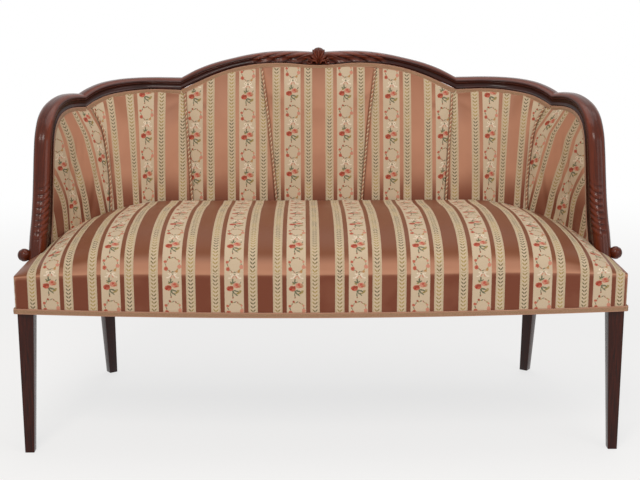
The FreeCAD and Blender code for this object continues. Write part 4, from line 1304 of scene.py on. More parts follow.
@dataclass
class Padding:
    """The seven sewn channels of the back and the wings, over stuffing."""

    edge_depth: float = 36.0
    depth_low: float = 74.0
    depth_high: float = 54.0
    wing_depth: float = 47.0
    back_at: float = 28.2
    flat: float = 10.0
    roll: float = 75.0
    seam_dip: float = 8.0
    seam_reach: float = 38.0
    low: float = 390.0
    gap: float = 1.2
    spacing: float = 6.0
    puff: float = 4.0
    fan_from: float = 450.0
    fan_bend_from: float = 640.0
    fan_bend: float = 1.6
    outer_low: float = 0.75
    outer_high: float = 0.5
    outer_from: float = 480.0
    outer_over: float = 130.0
    # painted shade on the satin above the seat: where it starts, over what height, and how dark
    shade_from: float = 550.0
    shade_over: float = 75.0
    shade_most: float = 0.8
    edge: Array = field(default_factory=inner_edge)

    def depth(self, u: Array, z: Array, seams: Sequence[Sequence[Pair]]) -> Array:
        """Depth of the face: deep low down, rolled at the show wood and drawn in at the seams."""
        u = np.abs(u)
        full = lerp(
            lerp(self.depth_low, self.depth_high, ease((z - 470) / 280)), self.wing_depth, WALL.turn_share(u)
        )
        near = np.full(len(u), 1e9)
        for start in range(0, len(self.edge), 64):
            block = self.edge[start : start + 64]
            near = np.minimum(near, np.hypot(u[:, None] - block[:, 0], z[:, None] - block[:, 1]).min(1))
        roll = 1 - (1 - np.clip((near - self.flat) / self.roll, 0, 1)) ** 2
        depth = lerp(self.edge_depth, full, roll)
        for seam in seams:
            off = np.minimum(np.abs(u - seam_at(seam, z)) / self.seam_reach, 1)
            depth = depth - self.seam_dip * (1 - off) ** 2 * roll
        return depth

    def panel(self, name: str, places: Array, seams: Sequence[Sequence[Pair]]) -> bpy.types.Object:
        """A stuffed channel.

        Args:
            name: Name of the piece.
            places: u and z by column and row.
            seams: The seams that draw it in.

        Returns:
            A closed pad, blown up as cloth over its stuffing.
        """
        columns, rows = places.shape[0] - 1, places.shape[1] - 1
        obj, s, t = grid(name, columns, rows)
        i, j = np.rint(s * columns).astype(int), np.rint(t * rows).astype(int)
        u, z = places[i, j].T
        set_coordinates(obj, WALL.point(u, z, self.depth(u, z, seams)))
        edit(obj, lambda: bpy.ops.mesh.extrude_region_move())
        picked = np.zeros(len(obj.data.vertices), bool)
        obj.data.vertices.foreach_get("select", picked)
        points = coordinates(obj)
        points[picked] = WALL.point(*WALL.place(points[picked])[:2], self.back_at)
        set_coordinates(obj, points)
        edit(obj, lambda: bpy.ops.mesh.normals_make_consistent(inside=False))
        rim = np.zeros(len(points), bool)
        rim[: len(s)] = (s < 1e-4) | (s > 1 - 1e-4) | (t < 1e-4) | (t > 1 - 1e-4)
        swell(obj, picked | rim, self.puff)
        return obj

    def lay_cloth(self, obj: bpy.types.Object, lay: Lay) -> None:
        """Lays the stripes over a finished channel, straight on the back and fanned out over the wings."""
        u, z, _ = WALL.place(coordinates(obj))
        risen = z - self.fan_from + self.fan_bend * np.maximum(z - self.fan_bend_from, 0)
        off = np.abs(u) - lay.at - lay.slope * risen
        if lay.slope:
            outer = lerp(self.outer_low, self.outer_high, ease((z - self.outer_from) / self.outer_over))
            off = np.where(off > 0, off * outer, off)
        set_flat_map(obj, -np.where(u < 0, -1, 1) * off, z + lay.up)

    def shade(self, z: Array) -> Array:
        """Painted shade: how dark the satin is painted towards the crease above the seat."""
        return self.shade_most * ease((self.shade_from - z) / self.shade_over)

    def build(self) -> None:
        """Makes the seven channels and dresses them."""
        runs = (
            ("centre_back_pad", (CENTRE_SEAM, -1), (CENTRE_SEAM, 1), [CENTRE_SEAM]),
            ("inner_back_pad", (CENTRE_SEAM, 1), (SHOULDER_SEAM, 1), [CENTRE_SEAM, SHOULDER_SEAM]),
            ("back_pad", (SHOULDER_SEAM, 1), (WING_SEAM, 1), [SHOULDER_SEAM, WING_SEAM]),
        )
        pads = []
        for node, near, far, seams in runs:
            wide = abs(far[0][2][1] * far[1] - near[0][2][1] * near[1])
            places = back_panel(
                near, far, self.low, self.gap, round(wide / self.spacing) + 1, round(380 / self.spacing) + 1
            )
            pads.append((node, self.panel(node, places, seams)))
        places = wing_panel(
            WING_SEAM, self.low, self.gap, round(270 / self.spacing) + 1, round(330 / self.spacing) + 1
        )
        pads.append(("wing_pad", self.panel("wing_pad", places, [WING_SEAM])))
        lays = {
            "centre_back_pad": Lay(0, 20.5),
            "left_inner_back_pad": Lay(238, 29),
            "right_inner_back_pad": Lay(241, 28),
            "left_back_pad": Lay(357.5, 24),
            "right_back_pad": Lay(356.5, 27),
            "left_wing_pad": Lay(596, -23, 0.20),
            "right_wing_pad": Lay(586, -11.5, 0.28),
        }
        for node, pad in pads:
            twins = [(node, pad)]
            if node != "centre_back_pad":
                twins = [
                    ("left_" + node, pad), ("right_" + node, copy_mirrored(pad, "right_" + node + "_stuffed"))
                ]
            for name, piece in twins:
                piece.name = piece.data.name = name + "_stuffed"
                self.lay_cloth(piece, lays[name])
                # painted shade on the satin, darker towards the crease above the seat
                set_tone_wear_and_painted_light(piece, self.shade(coordinates(piece)[:, 2]))
                modify(piece, "SUBSURF", levels=1, render_levels=1)
                smooth_shade(piece, 70)
                seat_piece(piece, BROCADE, [name])


def swell(obj: bpy.types.Object, held: Array, most: float, frames: int = 20, pressure: float = 4.0) -> None:
    """Blows a closed piece up as cloth, with some of its points held.

    Args:
        obj: The piece.
        held: Which points stay.
        most: The furthest that a point may move.
        frames: Steps of the simulation.
        pressure: Pressure inside.
    """
    before = coordinates(obj)
    group = obj.vertex_groups.new(name="held")
    group.add([int(i) for i in np.flatnonzero(held)], 1.0, "REPLACE")
    activate(obj)
    cloth = obj.modifiers.new("Cloth", "CLOTH")
    cloth.settings.quality = 4
    cloth.settings.mass = 0.2
    cloth.settings.tension_stiffness = cloth.settings.compression_stiffness = 30
    cloth.settings.bending_stiffness = 2.0
    cloth.settings.vertex_group_mass = "held"
    cloth.settings.use_pressure = True
    cloth.settings.uniform_pressure_force = pressure
    cloth.settings.effector_weights.gravity = 0
    cloth.collision_settings.use_collision = False
    cloth.point_cache.frame_start, cloth.point_cache.frame_end = 1, frames
    for number in range(1, frames + 1):
        bpy.context.scene.frame_set(number)
    bpy.ops.object.modifier_apply(modifier="Cloth")
    bpy.context.scene.frame_set(1)
    moved = coordinates(obj) - before
    far = np.linalg.norm(moved, axis=1)[:, None]
    moved *= np.minimum(1, most / np.maximum(far, 1e-6))
    set_coordinates(obj, before + moved)
    obj.vertex_groups.clear()
    LOG.info("%s swelled by up to %.1f mm", obj.name, float(far.max()))


# Share of the seat's crown by the distance behind its front rim
SEAT_ROLL: Sequence[Pair] = (
    *((0, 0), (4, 0.145), (9, 0.31), (16, 0.44), (26, 0.56), (38, 0.655), (55, 0.75), (75, 0.835)),
    *((101, 0.905), (131, 0.955), (184, 0.995), (231, 1.0), (300, 0.965), (400, 0.85), (480, 0.8)),
)


@dataclass
class Seat:
    """The crowned seat: stuffing under cloth that comes down over the front and the sides as a band."""

    edge: float = 394.0
    lift: float = 12.0
    crown: float = 84.0
    side_reach: float = 300.0
    rim: float = 3.5
    corner: float = 9.0
    bottom: float = 313.0
    pad_bottom: float = 389.7
    band: float = 4.0
    band_from: float = 387.7
    foot_front: float = 133.1
    foot_rear: float = 197.0
    foot_side: float = 606.7
    spacing: float = 11.0
    puff: float = 3.0
    shift: float = 11.0
    drop: float = -2.5
    reach: float = 520.0
    steps: int = 20

    def side_rise(self, x: Array) -> Array:
        """Share of the full crown at x, from 0 at the sides."""
        return 1 - (1 - np.clip((WALL.half_width - np.abs(x)) / self.side_reach, 0, 1)) ** 2

    def front_rise(self, way: Array) -> Array:
        """Share of the crown behind the front rim: a full roll, then nearly flat, lower at the back."""
        return smooth(*np.array(SEAT_ROLL).T, way)[:, 0]

    def height(self, x: Array, y: Array) -> Array:
        """Height of the crown, without the rounding at the rims."""
        rise = self.side_rise(x)
        return self.edge + self.lift * rise + self.crown * rise * self.front_rise(y - WALL.front(x))

    def ways(self, end: float, extra: Sequence[float] = ()) -> Array:
        """Distances from a rim: close at the rim, the seat's spacing further in."""
        near = [0, 0.5, 1.2, 2.2, 3.4, 4.8, 6.5, 9, 13, 19, 27]
        far = np.linspace(27, end, max(2, round((end - 27) / self.spacing) + 1))[1:]
        return np.array(sorted({*near, *far.tolist(), *extra}))

    def body(self) -> bpy.types.Object:
        """The whole seat before it is cut to the back: a closed shell over a flat underside."""
        skirt = -np.linspace(self.edge - self.rim - self.bottom, 0, 10)[:-1]
        half = self.ways(WALL.half_width)
        ways_x = np.concatenate([skirt, half])
        xs = np.concatenate([ways_x, -ways_x[-2::-1] - 1e4])
        ways_y = np.concatenate([skirt, self.ways(500.0, (self.foot_rear,))])
        obj, s, t = grid("seat", len(xs) - 1, len(ways_y) - 1)
        i, j = np.rint(s * (len(xs) - 1)).astype(int), np.rint(t * (len(ways_y) - 1)).astype(int)
        right = xs[i] < -5e3
        a, b = np.where(right, -xs[i] - 1e4, xs[i]), ways_y[j]
        down = -np.minimum(np.minimum(a, b), 0)
        both = (a < 0) & (b < 0)
        a0, b0 = np.maximum(a, 0), np.maximum(b, 0)
        wa, wb = self.corner - a0, self.corner - b0
        cornered = (wa > 0) & (wb > 0)
        big, small = np.maximum(wa, wb), np.minimum(wa, wb)
        turn = np.where(cornered, small / np.maximum(big, 1e-9), 0) * math.pi / 4
        ring_a = np.where(wa >= wb, np.cos(turn), np.sin(turn)) * big
        ring_b = np.where(wa >= wb, np.sin(turn), np.cos(turn)) * big
        a1, b1 = np.where(cornered, self.corner - ring_a, a0), np.where(cornered, self.corner - ring_b, b0)
        near = np.where(cornered, self.corner - big, np.minimum(a0, b0))
        rim = self.rim * (1 - ease((b1 - 128) / 5) * (a1 < 40))
        drop = rim - np.sqrt(np.maximum(rim**2 - np.maximum(rim - near, 0) ** 2, 0))
        x = (a1 - WALL.half_width) * np.where(right, -1, 1)
        y = WALL.front(np.clip(x, -WALL.half_width, WALL.half_width)) + b1
        z = self.height(x, y) - drop
        top = self.edge + self.lift * self.side_rise(x) - rim
        z = np.where(down > 0, lerp(top, self.bottom, down / down.max()), z)
        set_coordinates(obj, np.stack([x, y, z], -1))
        mesh = bmesh.new()
        mesh.from_mesh(obj.data)
        mesh.verts.ensure_lookup_table()
        gone = [f for f in mesh.faces if any(both[v.index] for v in f.verts)]
        gone += [
            f for f in mesh.faces if all(
                down[v.index] >= 0 and a[v.index] <= 0 for v in f.verts
            ) and max(b[v.index] for v in f.verts) > self.foot_rear + 0.5
        ]
        bmesh.ops.delete(mesh, geom=gone, context="FACES")
        mesh.to_mesh(obj.data)
        mesh.free()
        edit(
            obj, lambda: bpy.ops.mesh.remove_doubles(threshold=0.00002),
            lambda: bpy.ops.mesh.extrude_region_move()
        )
        inner = np.zeros(len(obj.data.vertices), bool)
        obj.data.vertices.foreach_get("select", inner)
        points = coordinates(obj)
        held = inner | (points[:, 2] < self.edge + 18)
        wide = WALL.half_width - self.band
        px = np.clip(points[:, 0], -wide, wide)
        py = np.maximum(points[:, 1], WALL.front(px) + self.band)
        points[inner] = np.stack([px, py, np.minimum(points[:, 2], self.pad_bottom)], -1)[inner]
        set_coordinates(obj, points)
        edit(obj, lambda: bpy.ops.mesh.normals_make_consistent(inside=False))
        swell(obj, held, self.puff)
        return obj

    def rear(self, padding: Padding) -> Array:
        """Outline of the room for the back and the arms' feet, from the left round to the right."""
        u = np.linspace(0, ARM.inner[-1][0], 36)
        reach = lerp(480.0, 415.0, WALL.turn_share(u))
        depth = np.max([padding.depth(u, lerp(390.0, reach, s), []) for s in np.linspace(0, 1, 6)], 0) + 0.6
        low, high = WALL.point(u, 390.0, depth), WALL.point(u, reach, depth)
        nearer = np.hypot(low[:, 0], low[:, 1]) < np.hypot(high[:, 0], high[:, 1])
        curve = np.where(nearer[:, None], low, high)[::-1, :2]
        side = -WALL.half_width - 14
        left = [
            (side, self.foot_front), (-self.foot_side, self.foot_front), (-self.foot_side, curve[0, 1] - 2),
            *curve
        ]
        left = np.array(left)
        return np.concatenate([left, left[-2::-1] * (-1, 1)])

    def cut(self, obj: bpy.types.Object, padding: Padding) -> None:
        """Cuts the room for the back and the arms' feet out of the seat."""
        outline = self.rear(padding)
        cutter, s, t = grid("room_for_the_back", len(outline) - 1, 1)
        i = np.rint(s * (len(outline) - 1)).astype(int)
        far = (0, 60) + (outline - (0, 60)) * 2.2
        place = np.where(t[:, None] > 0.5, far[i], outline[i])
        set_coordinates(cutter, np.column_stack([place, np.full(len(i), self.band_from)]))
        edit(
            cutter,
            lambda: bpy.ops.mesh.extrude_region_move(TRANSFORM_OT_translate={"value": (0, 0, 0.2)}),
            lambda: bpy.ops.mesh.select_all(action="SELECT"),
            lambda: bpy.ops.mesh.normals_make_consistent(inside=False),
        )
        modify(obj, "BOOLEAN", operation="DIFFERENCE", object=cutter, solver="EXACT")
        bpy.data.objects.remove(cutter)

    def cloth_run(self, ahead: Array, rise: Array) -> Array:
        """Length of cloth from the front rim, where the crown has a share rise of its height."""
        slope = np.gradient(self.front_rise(np.arange(self.reach))) * self.crown
        shares = np.linspace(0, 1, self.steps + 1)
        runs = np.cumsum(np.sqrt(1 + (shares[:, None] * slope) ** 2), axis=1)
        i = np.minimum(rise * self.steps, self.steps - 0.001).astype(int)
        k = np.clip(ahead, 0, self.reach - 2).astype(int)
        lower = lerp(runs[i, k], runs[i, k + 1], ahead - k)
        upper = lerp(runs[i + 1, k], runs[i + 1, k + 1], ahead - k)
        return lerp(lower, upper, rise * self.steps - i)

    def lay_cloth(self, obj: bpy.types.Object) -> None:
        """Lays the stripes: front to back over the top and down the front, and round over the side bands."""
        mesh = obj.data
        corners, facing = np.empty(len(mesh.loops), np.int64), np.zeros((len(mesh.loops), 3))
        mesh.loops.foreach_get("vertex_index", corners)
        for face in mesh.polygons:
            facing[face.loop_start : face.loop_start + face.loop_total] = face.normal
        x, y, z = coordinates(obj)[corners].T
        ahead = y - WALL.front(np.clip(x, -WALL.half_width, WALL.half_width))
        aside = WALL.half_width - np.abs(x)
        over = np.arcsin(np.clip((self.rim - np.minimum(ahead, aside)) / self.rim, 0, 1)) * self.rim
        rise = self.side_rise(x)
        rim = self.edge + self.lift * rise
        side = (np.abs(facing[:, 0]) > np.abs(facing[:, 1])) & (aside < self.corner + 1) & (ahead > -1)
        front = (~side) & (ahead < self.rim + 0.5) & (z < rim + 2)
        u, v = x.copy(), self.cloth_run(ahead, rise) + rim - self.edge
        v[front] = z[front] - self.edge
        u[side] = (
            np.sign(x) * (WALL.half_width - self.rim + over + np.maximum(self.edge - self.rim - z, 0))
        )[side]
        set_flat_map(obj, u - self.shift, v + self.drop)

    def build(self, padding: Padding) -> None:
        """Makes the seat and dresses it."""
        seat = self.body()
        self.cut(seat, padding)
        self.lay_cloth(seat)
        seat.name = seat.data.name = "seat_cover_stuffed"
        smooth_shade(seat, 40)
        seat_piece(seat, BROCADE, ["seat_pad"])


@dataclass
class Trims:
    """The braids and the twisted cords."""

    gap: float = 0.8
    width: float = 10.5
    thick: float = 2.2
    start: float = 36.6
    seat_bottom: float = 313.0
    seat_height: float = 11.5
    off: float = 0.6
    strands: int = 3
    strand_radius: float = 1.35
    lay_radius: float = 1.35
    pitch: float = 10.5
    cord_from: float = 393.0
    cord_below: float = 13.0

    def strip(self, name: str, chain: Chain, padding: Padding, ends: Pair) -> bpy.types.Object:
        """A braid along one run of the show wood's inner edge.

        Args:
            name: Name of the piece.
            chain: The run.
            padding: The padding that it lies on.
            ends: Shares of the run at which it starts and ends.

        Returns:
            The braid, domed, with picots along both edges.
        """
        edge = np.array(chain.inner, float)
        knots = np.concatenate([[0], np.cumsum(np.hypot(*np.diff(edge, axis=0).T))])
        rows = round(knots[-1] * (ends[1] - ends[0]) / 1.6)
        profile = [
            (0, 0.0), (0, 0.45), (0.07, 0.8), (0.16, 0.62), (0.32, 1.0), (0.46, 0.82), (0.54, 0.82),
            (0.68, 1.0)
        ]
        profile += [(0.84, 0.62), (0.93, 0.8), (1, 0.45), (1, 0.0)]
        obj, s, t = grid(name, len(profile), rows)
        i = np.rint(s * len(profile)).astype(int) % len(profile)
        way = lerp(ends[0], ends[1], t) * knots[-1]
        here = smooth(knots, edge, way)
        turn = smooth(knots, edge, way + 0.5) - smooth(knots, edge, way - 0.5)
        turn /= np.linalg.norm(turn, axis=1)[:, None]
        share, rise = np.array(profile)[i].T
        picot = 0.35 * np.sin(2 * math.pi * way / 3.2) * (np.abs(share - 0.5) > 0.42)
        off = self.gap + self.width * share + np.sign(share - 0.5) * picot
        place = here + np.stack([turn[:, 1], -turn[:, 0]], -1) * off[:, None]
        under = np.maximum(self.start, padding.depth(*place.T, [WING_SEAM, SHOULDER_SEAM, CENTRE_SEAM]) + 0.4)
        plait = 0.22 * np.sin(
            2 * math.pi * (way + 1.1 * np.abs(share - 0.5) * self.width) / 3.2
        ) * (rise > 0.5)
        set_coordinates(obj, WALL.point(place[:, 0], place[:, 1], under + self.thick * rise + plait))
        set_flat_map(obj, way, share * self.width)
        close_up(obj)
        smooth_shade(obj, 60)
        return obj

    def plan(self, out: float, z: float, step: float) -> Array:
        """Closed outline of the seat's plan, moved outwards, from above going round clockwise."""
        half, start = WALL.half_width, WALL.corner_start
        xs = np.linspace(-half - out * 0.6, half + out * 0.6, round(2 * half / step))
        radius = (half**2 + WALL.front_bow**2) / (2 * WALL.front_bow)
        front = np.stack([xs, radius - WALL.front_bow - np.sqrt((radius + out) ** 2 - xs**2)], -1)
        ends = np.arange(0, WALL.corner_end + WALL.depth - WALL.corner_radius, step)
        wall = WALL.point(-ends[::-1], 0, -out)[:, :2], WALL.point(ends[1:], 0, -out)[:, :2]
        return np.column_stack(
            [np.concatenate([front[1:-1], *wall]), np.full(len(front) - 2 + 2 * len(ends) - 1, z)]
        )

    def seat_braid(self) -> bpy.types.Object:
        """The braid round the bottom edge of the seat, with a pink picot along its top."""
        line = self.plan(self.off, self.seat_bottom, 2.0)
        turn = np.roll(line, -1, 0) - np.roll(line, 1, 0)
        out = np.stack([turn[:, 1], -turn[:, 0]], -1) / np.hypot(turn[:, 0], turn[:, 1])[:, None]
        way = np.concatenate([[0], np.cumsum(np.linalg.norm(np.diff(line, axis=0), axis=1))])
        profile = [
            (0, 0.0), (0, 0.6), (0.12, 0.95), (0.26, 0.7), (0.42, 1.0), (0.58, 0.8), (0.72, 1.0), (0.86, 0.7),
            (0.93, 0.9)
        ]
        profile += [(1, 0.5), (1, 0.0)]
        obj, s, t = grid("seat_braid", len(profile), len(line))
        k = np.rint(s * len(profile)).astype(int) % len(profile)
        i = np.rint(t * len(line)).astype(int) % len(line)
        share, rise = np.array(profile)[k].T
        picot = 0.45 * np.sin(2 * math.pi * way[i] / 3.6) * (share > 0.9)
        reach = self.thick * rise + 0.2 * np.sin(
            2 * math.pi * (way[i] + 9 * np.abs(share - 0.5)) / 3.6
        ) * (rise > 0.5)
        place = line[i].copy()
        place[:, :2] += out[i] * reach[:, None]
        place[:, 2] += share * self.seat_height + picot
        set_coordinates(obj, place)
        set_flat_map(obj, way[i], share * self.width)
        close_up(obj)
        smooth_shade(obj, 60)
        return obj

    def cord(self, seam: Sequence[Pair], padding: Padding, side: int) -> list[bpy.types.Object]:
        """The strands of the twisted cord in one seam."""
        top = float(inner_height(seam_at(seam, [seam[-1][0]]))[0]) - self.cord_below
        z = np.linspace(self.cord_from, top, round((top - self.cord_from) / 0.9))
        u = seam_at(seam, z)
        depth = padding.depth(u, z, [seam]) + 3.7
        line = WALL.point(u * side, z, depth)
        ahead = np.gradient(line, axis=0)
        ahead /= np.linalg.norm(ahead, axis=1)[:, None]
        out = line - WALL.point(u * side, z, depth + 1)
        out -= ahead * np.sum(out * ahead, axis=1)[:, None]
        out /= np.linalg.norm(out, axis=1)[:, None]
        across = np.cross(ahead, out)
        strands = []
        for k in range(self.strands):
            turn = 2 * math.pi * ((z - z[0]) / self.pitch + k / self.strands)
            path = line + (out * np.cos(turn)[:, None] + across * np.sin(turn)[:, None]) * self.lay_radius
            strand = tube("strand", path, self.strand_radius, 8)
            set_tone_wear_and_painted_light(strand, (1.0, 0.25, 0.0)[k])
            strands.append(strand)
        return strands

    def build(self, padding: Padding) -> None:
        """Makes the trims and dresses them."""
        crest = self.strip("back_gimp_plaited", CREST.mirrored(), padding, (0.001, 0.999))
        strips = [crest]
        for name, chain, end in (("shoulder", SHOULDER, 0.999), ("arm", ARM, 0.975)):
            left = self.strip(name, chain, padding, (0.001, end))
            strips += [left, copy_mirrored(left, name + "_right")]
        seat_piece(join("back_gimp_plaited", strips), BRAID, ["back_gimp"])
        seat_piece(self.seat_braid(), BRAID, ["seat_gimp"])
        strands = [
            s for seam in (
                CENTRE_SEAM, SHOULDER_SEAM, WING_SEAM
            ) for side in (1, -1) for s in self.cord(seam, padding, side)
        ]
        seat_piece(join("seam_cords_twisted", strands), ROPE, ["seam_cords"])


@dataclass
class Cloths:
    """Outside covers, burlaps, webbing and the dust cover: flat cloth, tacked taut."""

    cover: float = 2.0
    burlap: float = 1.2
    burlap_at: float = 26.4
    bottom: float = 313.0
    rail_top: float = 388.0
    gap: float = 1.2
    border: float = 3.0
    dust_top: float = 316.3
    webbing_top: float = 317.9
    web_width: float = 50.0
    web_start: float = 75.0
    web_pitch: float = 136.0
    seat_burlap_at: float = 388.1

    def slab(self, name: str, places: Array, depth: float, thick: float) -> bpy.types.Object:
        """Cloth on the wall between two depths, over a grid of u and z, with its weave laid straight."""
        columns, rows = places.shape[0] - 1, places.shape[1] - 1
        obj, s, t = grid(name, columns, rows)
        u, z = places[np.rint(s * columns).astype(int), np.rint(t * rows).astype(int)].T
        set_coordinates(obj, WALL.point(u, z, depth + thick))
        edit(obj, lambda: bpy.ops.mesh.extrude_region_move())
        picked = np.zeros(len(obj.data.vertices), bool)
        obj.data.vertices.foreach_get("select", picked)
        points = coordinates(obj)
        points[picked] = WALL.point(*WALL.place(points[picked])[:2], depth)
        set_coordinates(obj, points)
        edit(obj, lambda: bpy.ops.mesh.normals_make_consistent(inside=False))
        u, z, _ = WALL.place(points)
        set_flat_map(obj, u, z)
        smooth_shade(obj, 40)
        return obj

    def level(self, name: str, inset: float, z: float, thick: float) -> bpy.types.Object:
        """Level cloth of the seat's plan."""
        line = TRIMS.plan(-inset, z, 12.0)
        obj, s, t = grid(name, len(line), 10)
        i = np.rint(s * len(line)).astype(int) % len(line)
        set_coordinates(obj, lerp(np.array([0, WALL.depth / 2, z]), line[i], t[:, None]))
        edit(
            obj,
            lambda: bpy.ops.mesh.remove_doubles(threshold=0.00001),
            lambda: bpy.ops.mesh.extrude_region_move(TRANSFORM_OT_translate={"value": (0, 0, -thick * MM)}),
            lambda: bpy.ops.mesh.select_all(action="SELECT"),
            lambda: bpy.ops.mesh.normals_make_consistent(inside=False),
        )
        return obj

    def make_room(self, obj: bpy.types.Object, boxes: Sequence[Array]) -> None:
        """Cuts upright boxes out of a cloth, each given as its corners in plan and its lowest and highest
        z."""
        for corners, low, high in boxes:
            deselect()
            bpy.ops.mesh.primitive_cube_add(size=1)
            box = bpy.context.object
            unit = np.empty(24)
            box.data.vertices.foreach_get("co", unit)
            unit = unit.reshape(-1, 3) + 0.5
            a, b, c, d = (np.array(p, float) for p in corners)
            x, y, z = unit.T[:, :, None]
            plan = lerp(lerp(a, b, x), lerp(d, c, x), y)
            set_coordinates(box, np.column_stack([plan, lerp(low, high, z)]))
            edit(box, lambda: bpy.ops.mesh.normals_make_consistent(inside=False))
            modify(obj, "BOOLEAN", operation="DIFFERENCE", object=box, solver="EXACT")
            bpy.data.objects.remove(box)

    def post_rooms(self, low: float, high: float, front: bool = True) -> list[tuple]:
        """Boxes round the four corner posts."""
        rooms = []
        for side in (1, -1):
            if front:
                x = [-side * (WALL.half_width + 9), -side * (WALL.half_width - 39.3)]
                rooms.append((((x[0], -9), (x[1], -9), (x[1], 39.3), (x[0], 39.3)), low, high))
            at = WALL.corner_start + WALL.corner_radius * math.radians(LEGS.post_turn)
            ends = [WALL.point(side * at, 0, t)[:2] for t in (-18, 37.3)]
            along = np.array([ends[1][1] - ends[0][1], ends[0][0] - ends[1][0]])
            along *= 17 / np.linalg.norm(along)
            rooms.append(((ends[0] - along, ends[0] + along, ends[1] + along, ends[1] - along), low, high))
        return rooms

    def webs(self) -> bpy.types.Object:
        """Webbing, woven over and under, nine strips one way and three the other."""
        strips = []
        rails = WALL.half_width - 10.3
        ys = [self.web_start + k * self.web_pitch + self.web_width / 2 for k in range(3)]
        xs = [k * self.web_pitch for k in range(-4, 5)]
        runs = [((x, 0), k) for k, x in enumerate(xs)] + [((y, 1), k) for k, y in enumerate(ys)]
        for (place, way), number in runs:
            obj, s, t = grid("web", 2, 120)
            cross, first, pitch = (ys, ys[0], self.web_pitch) if way == 0 else (xs, xs[0], self.web_pitch)
            if way == 0:
                low = float(WALL.front(place)) + 10.3
                high = float(WALL.depth - 10.3) if abs(place) < WALL.corner_start else 395.0
            else:
                low, high = (-rails, rails) if place < 250 else (-612.0, 612.0)
            run = lerp(low, high, t)
            beat = np.cos(math.pi * ((run - first) / pitch + number + way))
            mid = self.webbing_top - 0.6 + 0.29 * np.clip(beat * 1.6, -1, 1)
            side = place + (s - 0.5) * self.web_width
            place_xy = (side, run) if way == 0 else (run, side)
            set_coordinates(obj, np.stack([*place_xy, mid + 0.25], -1))
            edit(
                obj,
                lambda: bpy.ops.mesh.extrude_region_move(TRANSFORM_OT_translate={"value": (0, 0, -0.0005)})
            )
            edit(obj, lambda: bpy.ops.mesh.normals_make_consistent(inside=False))
            points = coordinates(obj)
            set_flat_map(obj, points[:, 0], points[:, 1])
            strips.append(obj)
        return join("seat_webbing_woven", strips)

    def build(self) -> None:
        edges = (COVER_SEAM, -1), (COVER_SEAM, 1)
        back = self.slab(
            "outside_back_cover_taut", back_panel(*edges, self.bottom, self.gap, 121, 49), 0, self.cover
        )
        seat_piece(back, BROCADE, ["outside_back_cover"])
        sheet_area(back)
        lining = self.slab(
            "back_burlap_taut", back_panel(*edges, self.rail_top + 2, self.border, 81, 31), self.burlap_at,
            self.burlap
        )
        seat_piece(lining, BURLAP, ["back_burlap"])
        sheet_area(lining)
        upper = wing_panel(COVER_SEAM, self.rail_top, self.gap, 49, 41)
        heights = np.linspace(self.bottom, self.rail_top, 9)[:-1]
        lower = np.stack(
            [np.stack([np.full(49, 0) + upper[:, 0, 0], np.full(49, z)], -1) for z in heights], 1
        )
        wing = self.slab("left_outside_wing_cover_taut", np.concatenate([lower, upper], 1), 0, self.cover)
        jute = self.slab(
            "left_wing_burlap_taut", wing_panel(COVER_SEAM, self.rail_top + 2, self.border, 41, 31),
            self.burlap_at, self.burlap
        )
        for piece, finish, node, flat in (
            (wing, BROCADE, "outside_wing_cover", (0.36, 0.42)),
            (jute, BURLAP, "wing_burlap", (0.30, 0.33)),
        ):
            twin = copy_mirrored(piece, piece.name.replace("left", "right"))
            for cloth, word in ((piece, "left_"), (twin, "right_")):
                seat_piece(cloth, finish, [word + node])
                sheet_area(cloth)
        webs = self.webs()
        seat_piece(webs, WEBBING, ["seat_webbing"])
        sheet_area(webs)
        dust = self.level("dust_cover_taut", 8.3, self.dust_top, self.burlap)
        self.make_room(dust, self.post_rooms(300, 330))
        sprung = self.level("seat_burlap_taut", 9.3, self.seat_burlap_at + self.burlap, self.burlap)
        rear = WALL.point(0, self.seat_burlap_at, 27.5)[1]
        rooms = self.post_rooms(380, 400, front=False) + [
            (((-700, rear), (700, rear), (700, 560), (-700, 560)), 380, 400)
        ]
        for side in (1, -1):
            x = [-side * (WALL.half_width + 5), -side * (WALL.half_width - 40.2)]
            rooms.append((((x[0], 132.2), (x[1], 132.2), (x[1], 197.9), (x[0], 197.9)), 380, 400))
        self.make_room(sprung, rooms)
        for piece, finish, node, flat in (
            (dust, DUST_CLOTH, "dust_cover", (1.30, 0.54)),
            (sprung, BURLAP, "seat_burlap", (1.30, 0.52)),
        ):
            points = coordinates(piece)
            set_flat_map(piece, points[:, 0], points[:, 1])
            smooth_shade(piece, 40)
            seat_piece(piece, finish, [node])
            sheet_area(piece)


def sheet_area(obj: bpy.types.Object) -> float:
    """Area in square metres of one face of a thin closed sheet."""
    area = sum(face.area for face in obj.data.polygons) / 2
    LOG.info("%s: %.3f square metres", obj.name, area)
    return area


LEGS, TRIMS = Legs(), Trims()


def dress_frame() -> None:
    """Gives the frame's own solids, which stay, their wood and steel."""
    for name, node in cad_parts.items():
        finish = STEEL if name == "seat_springs" else BEECH
        node.data.materials.clear()
        node.data.materials.append(finish.material())


# The studio


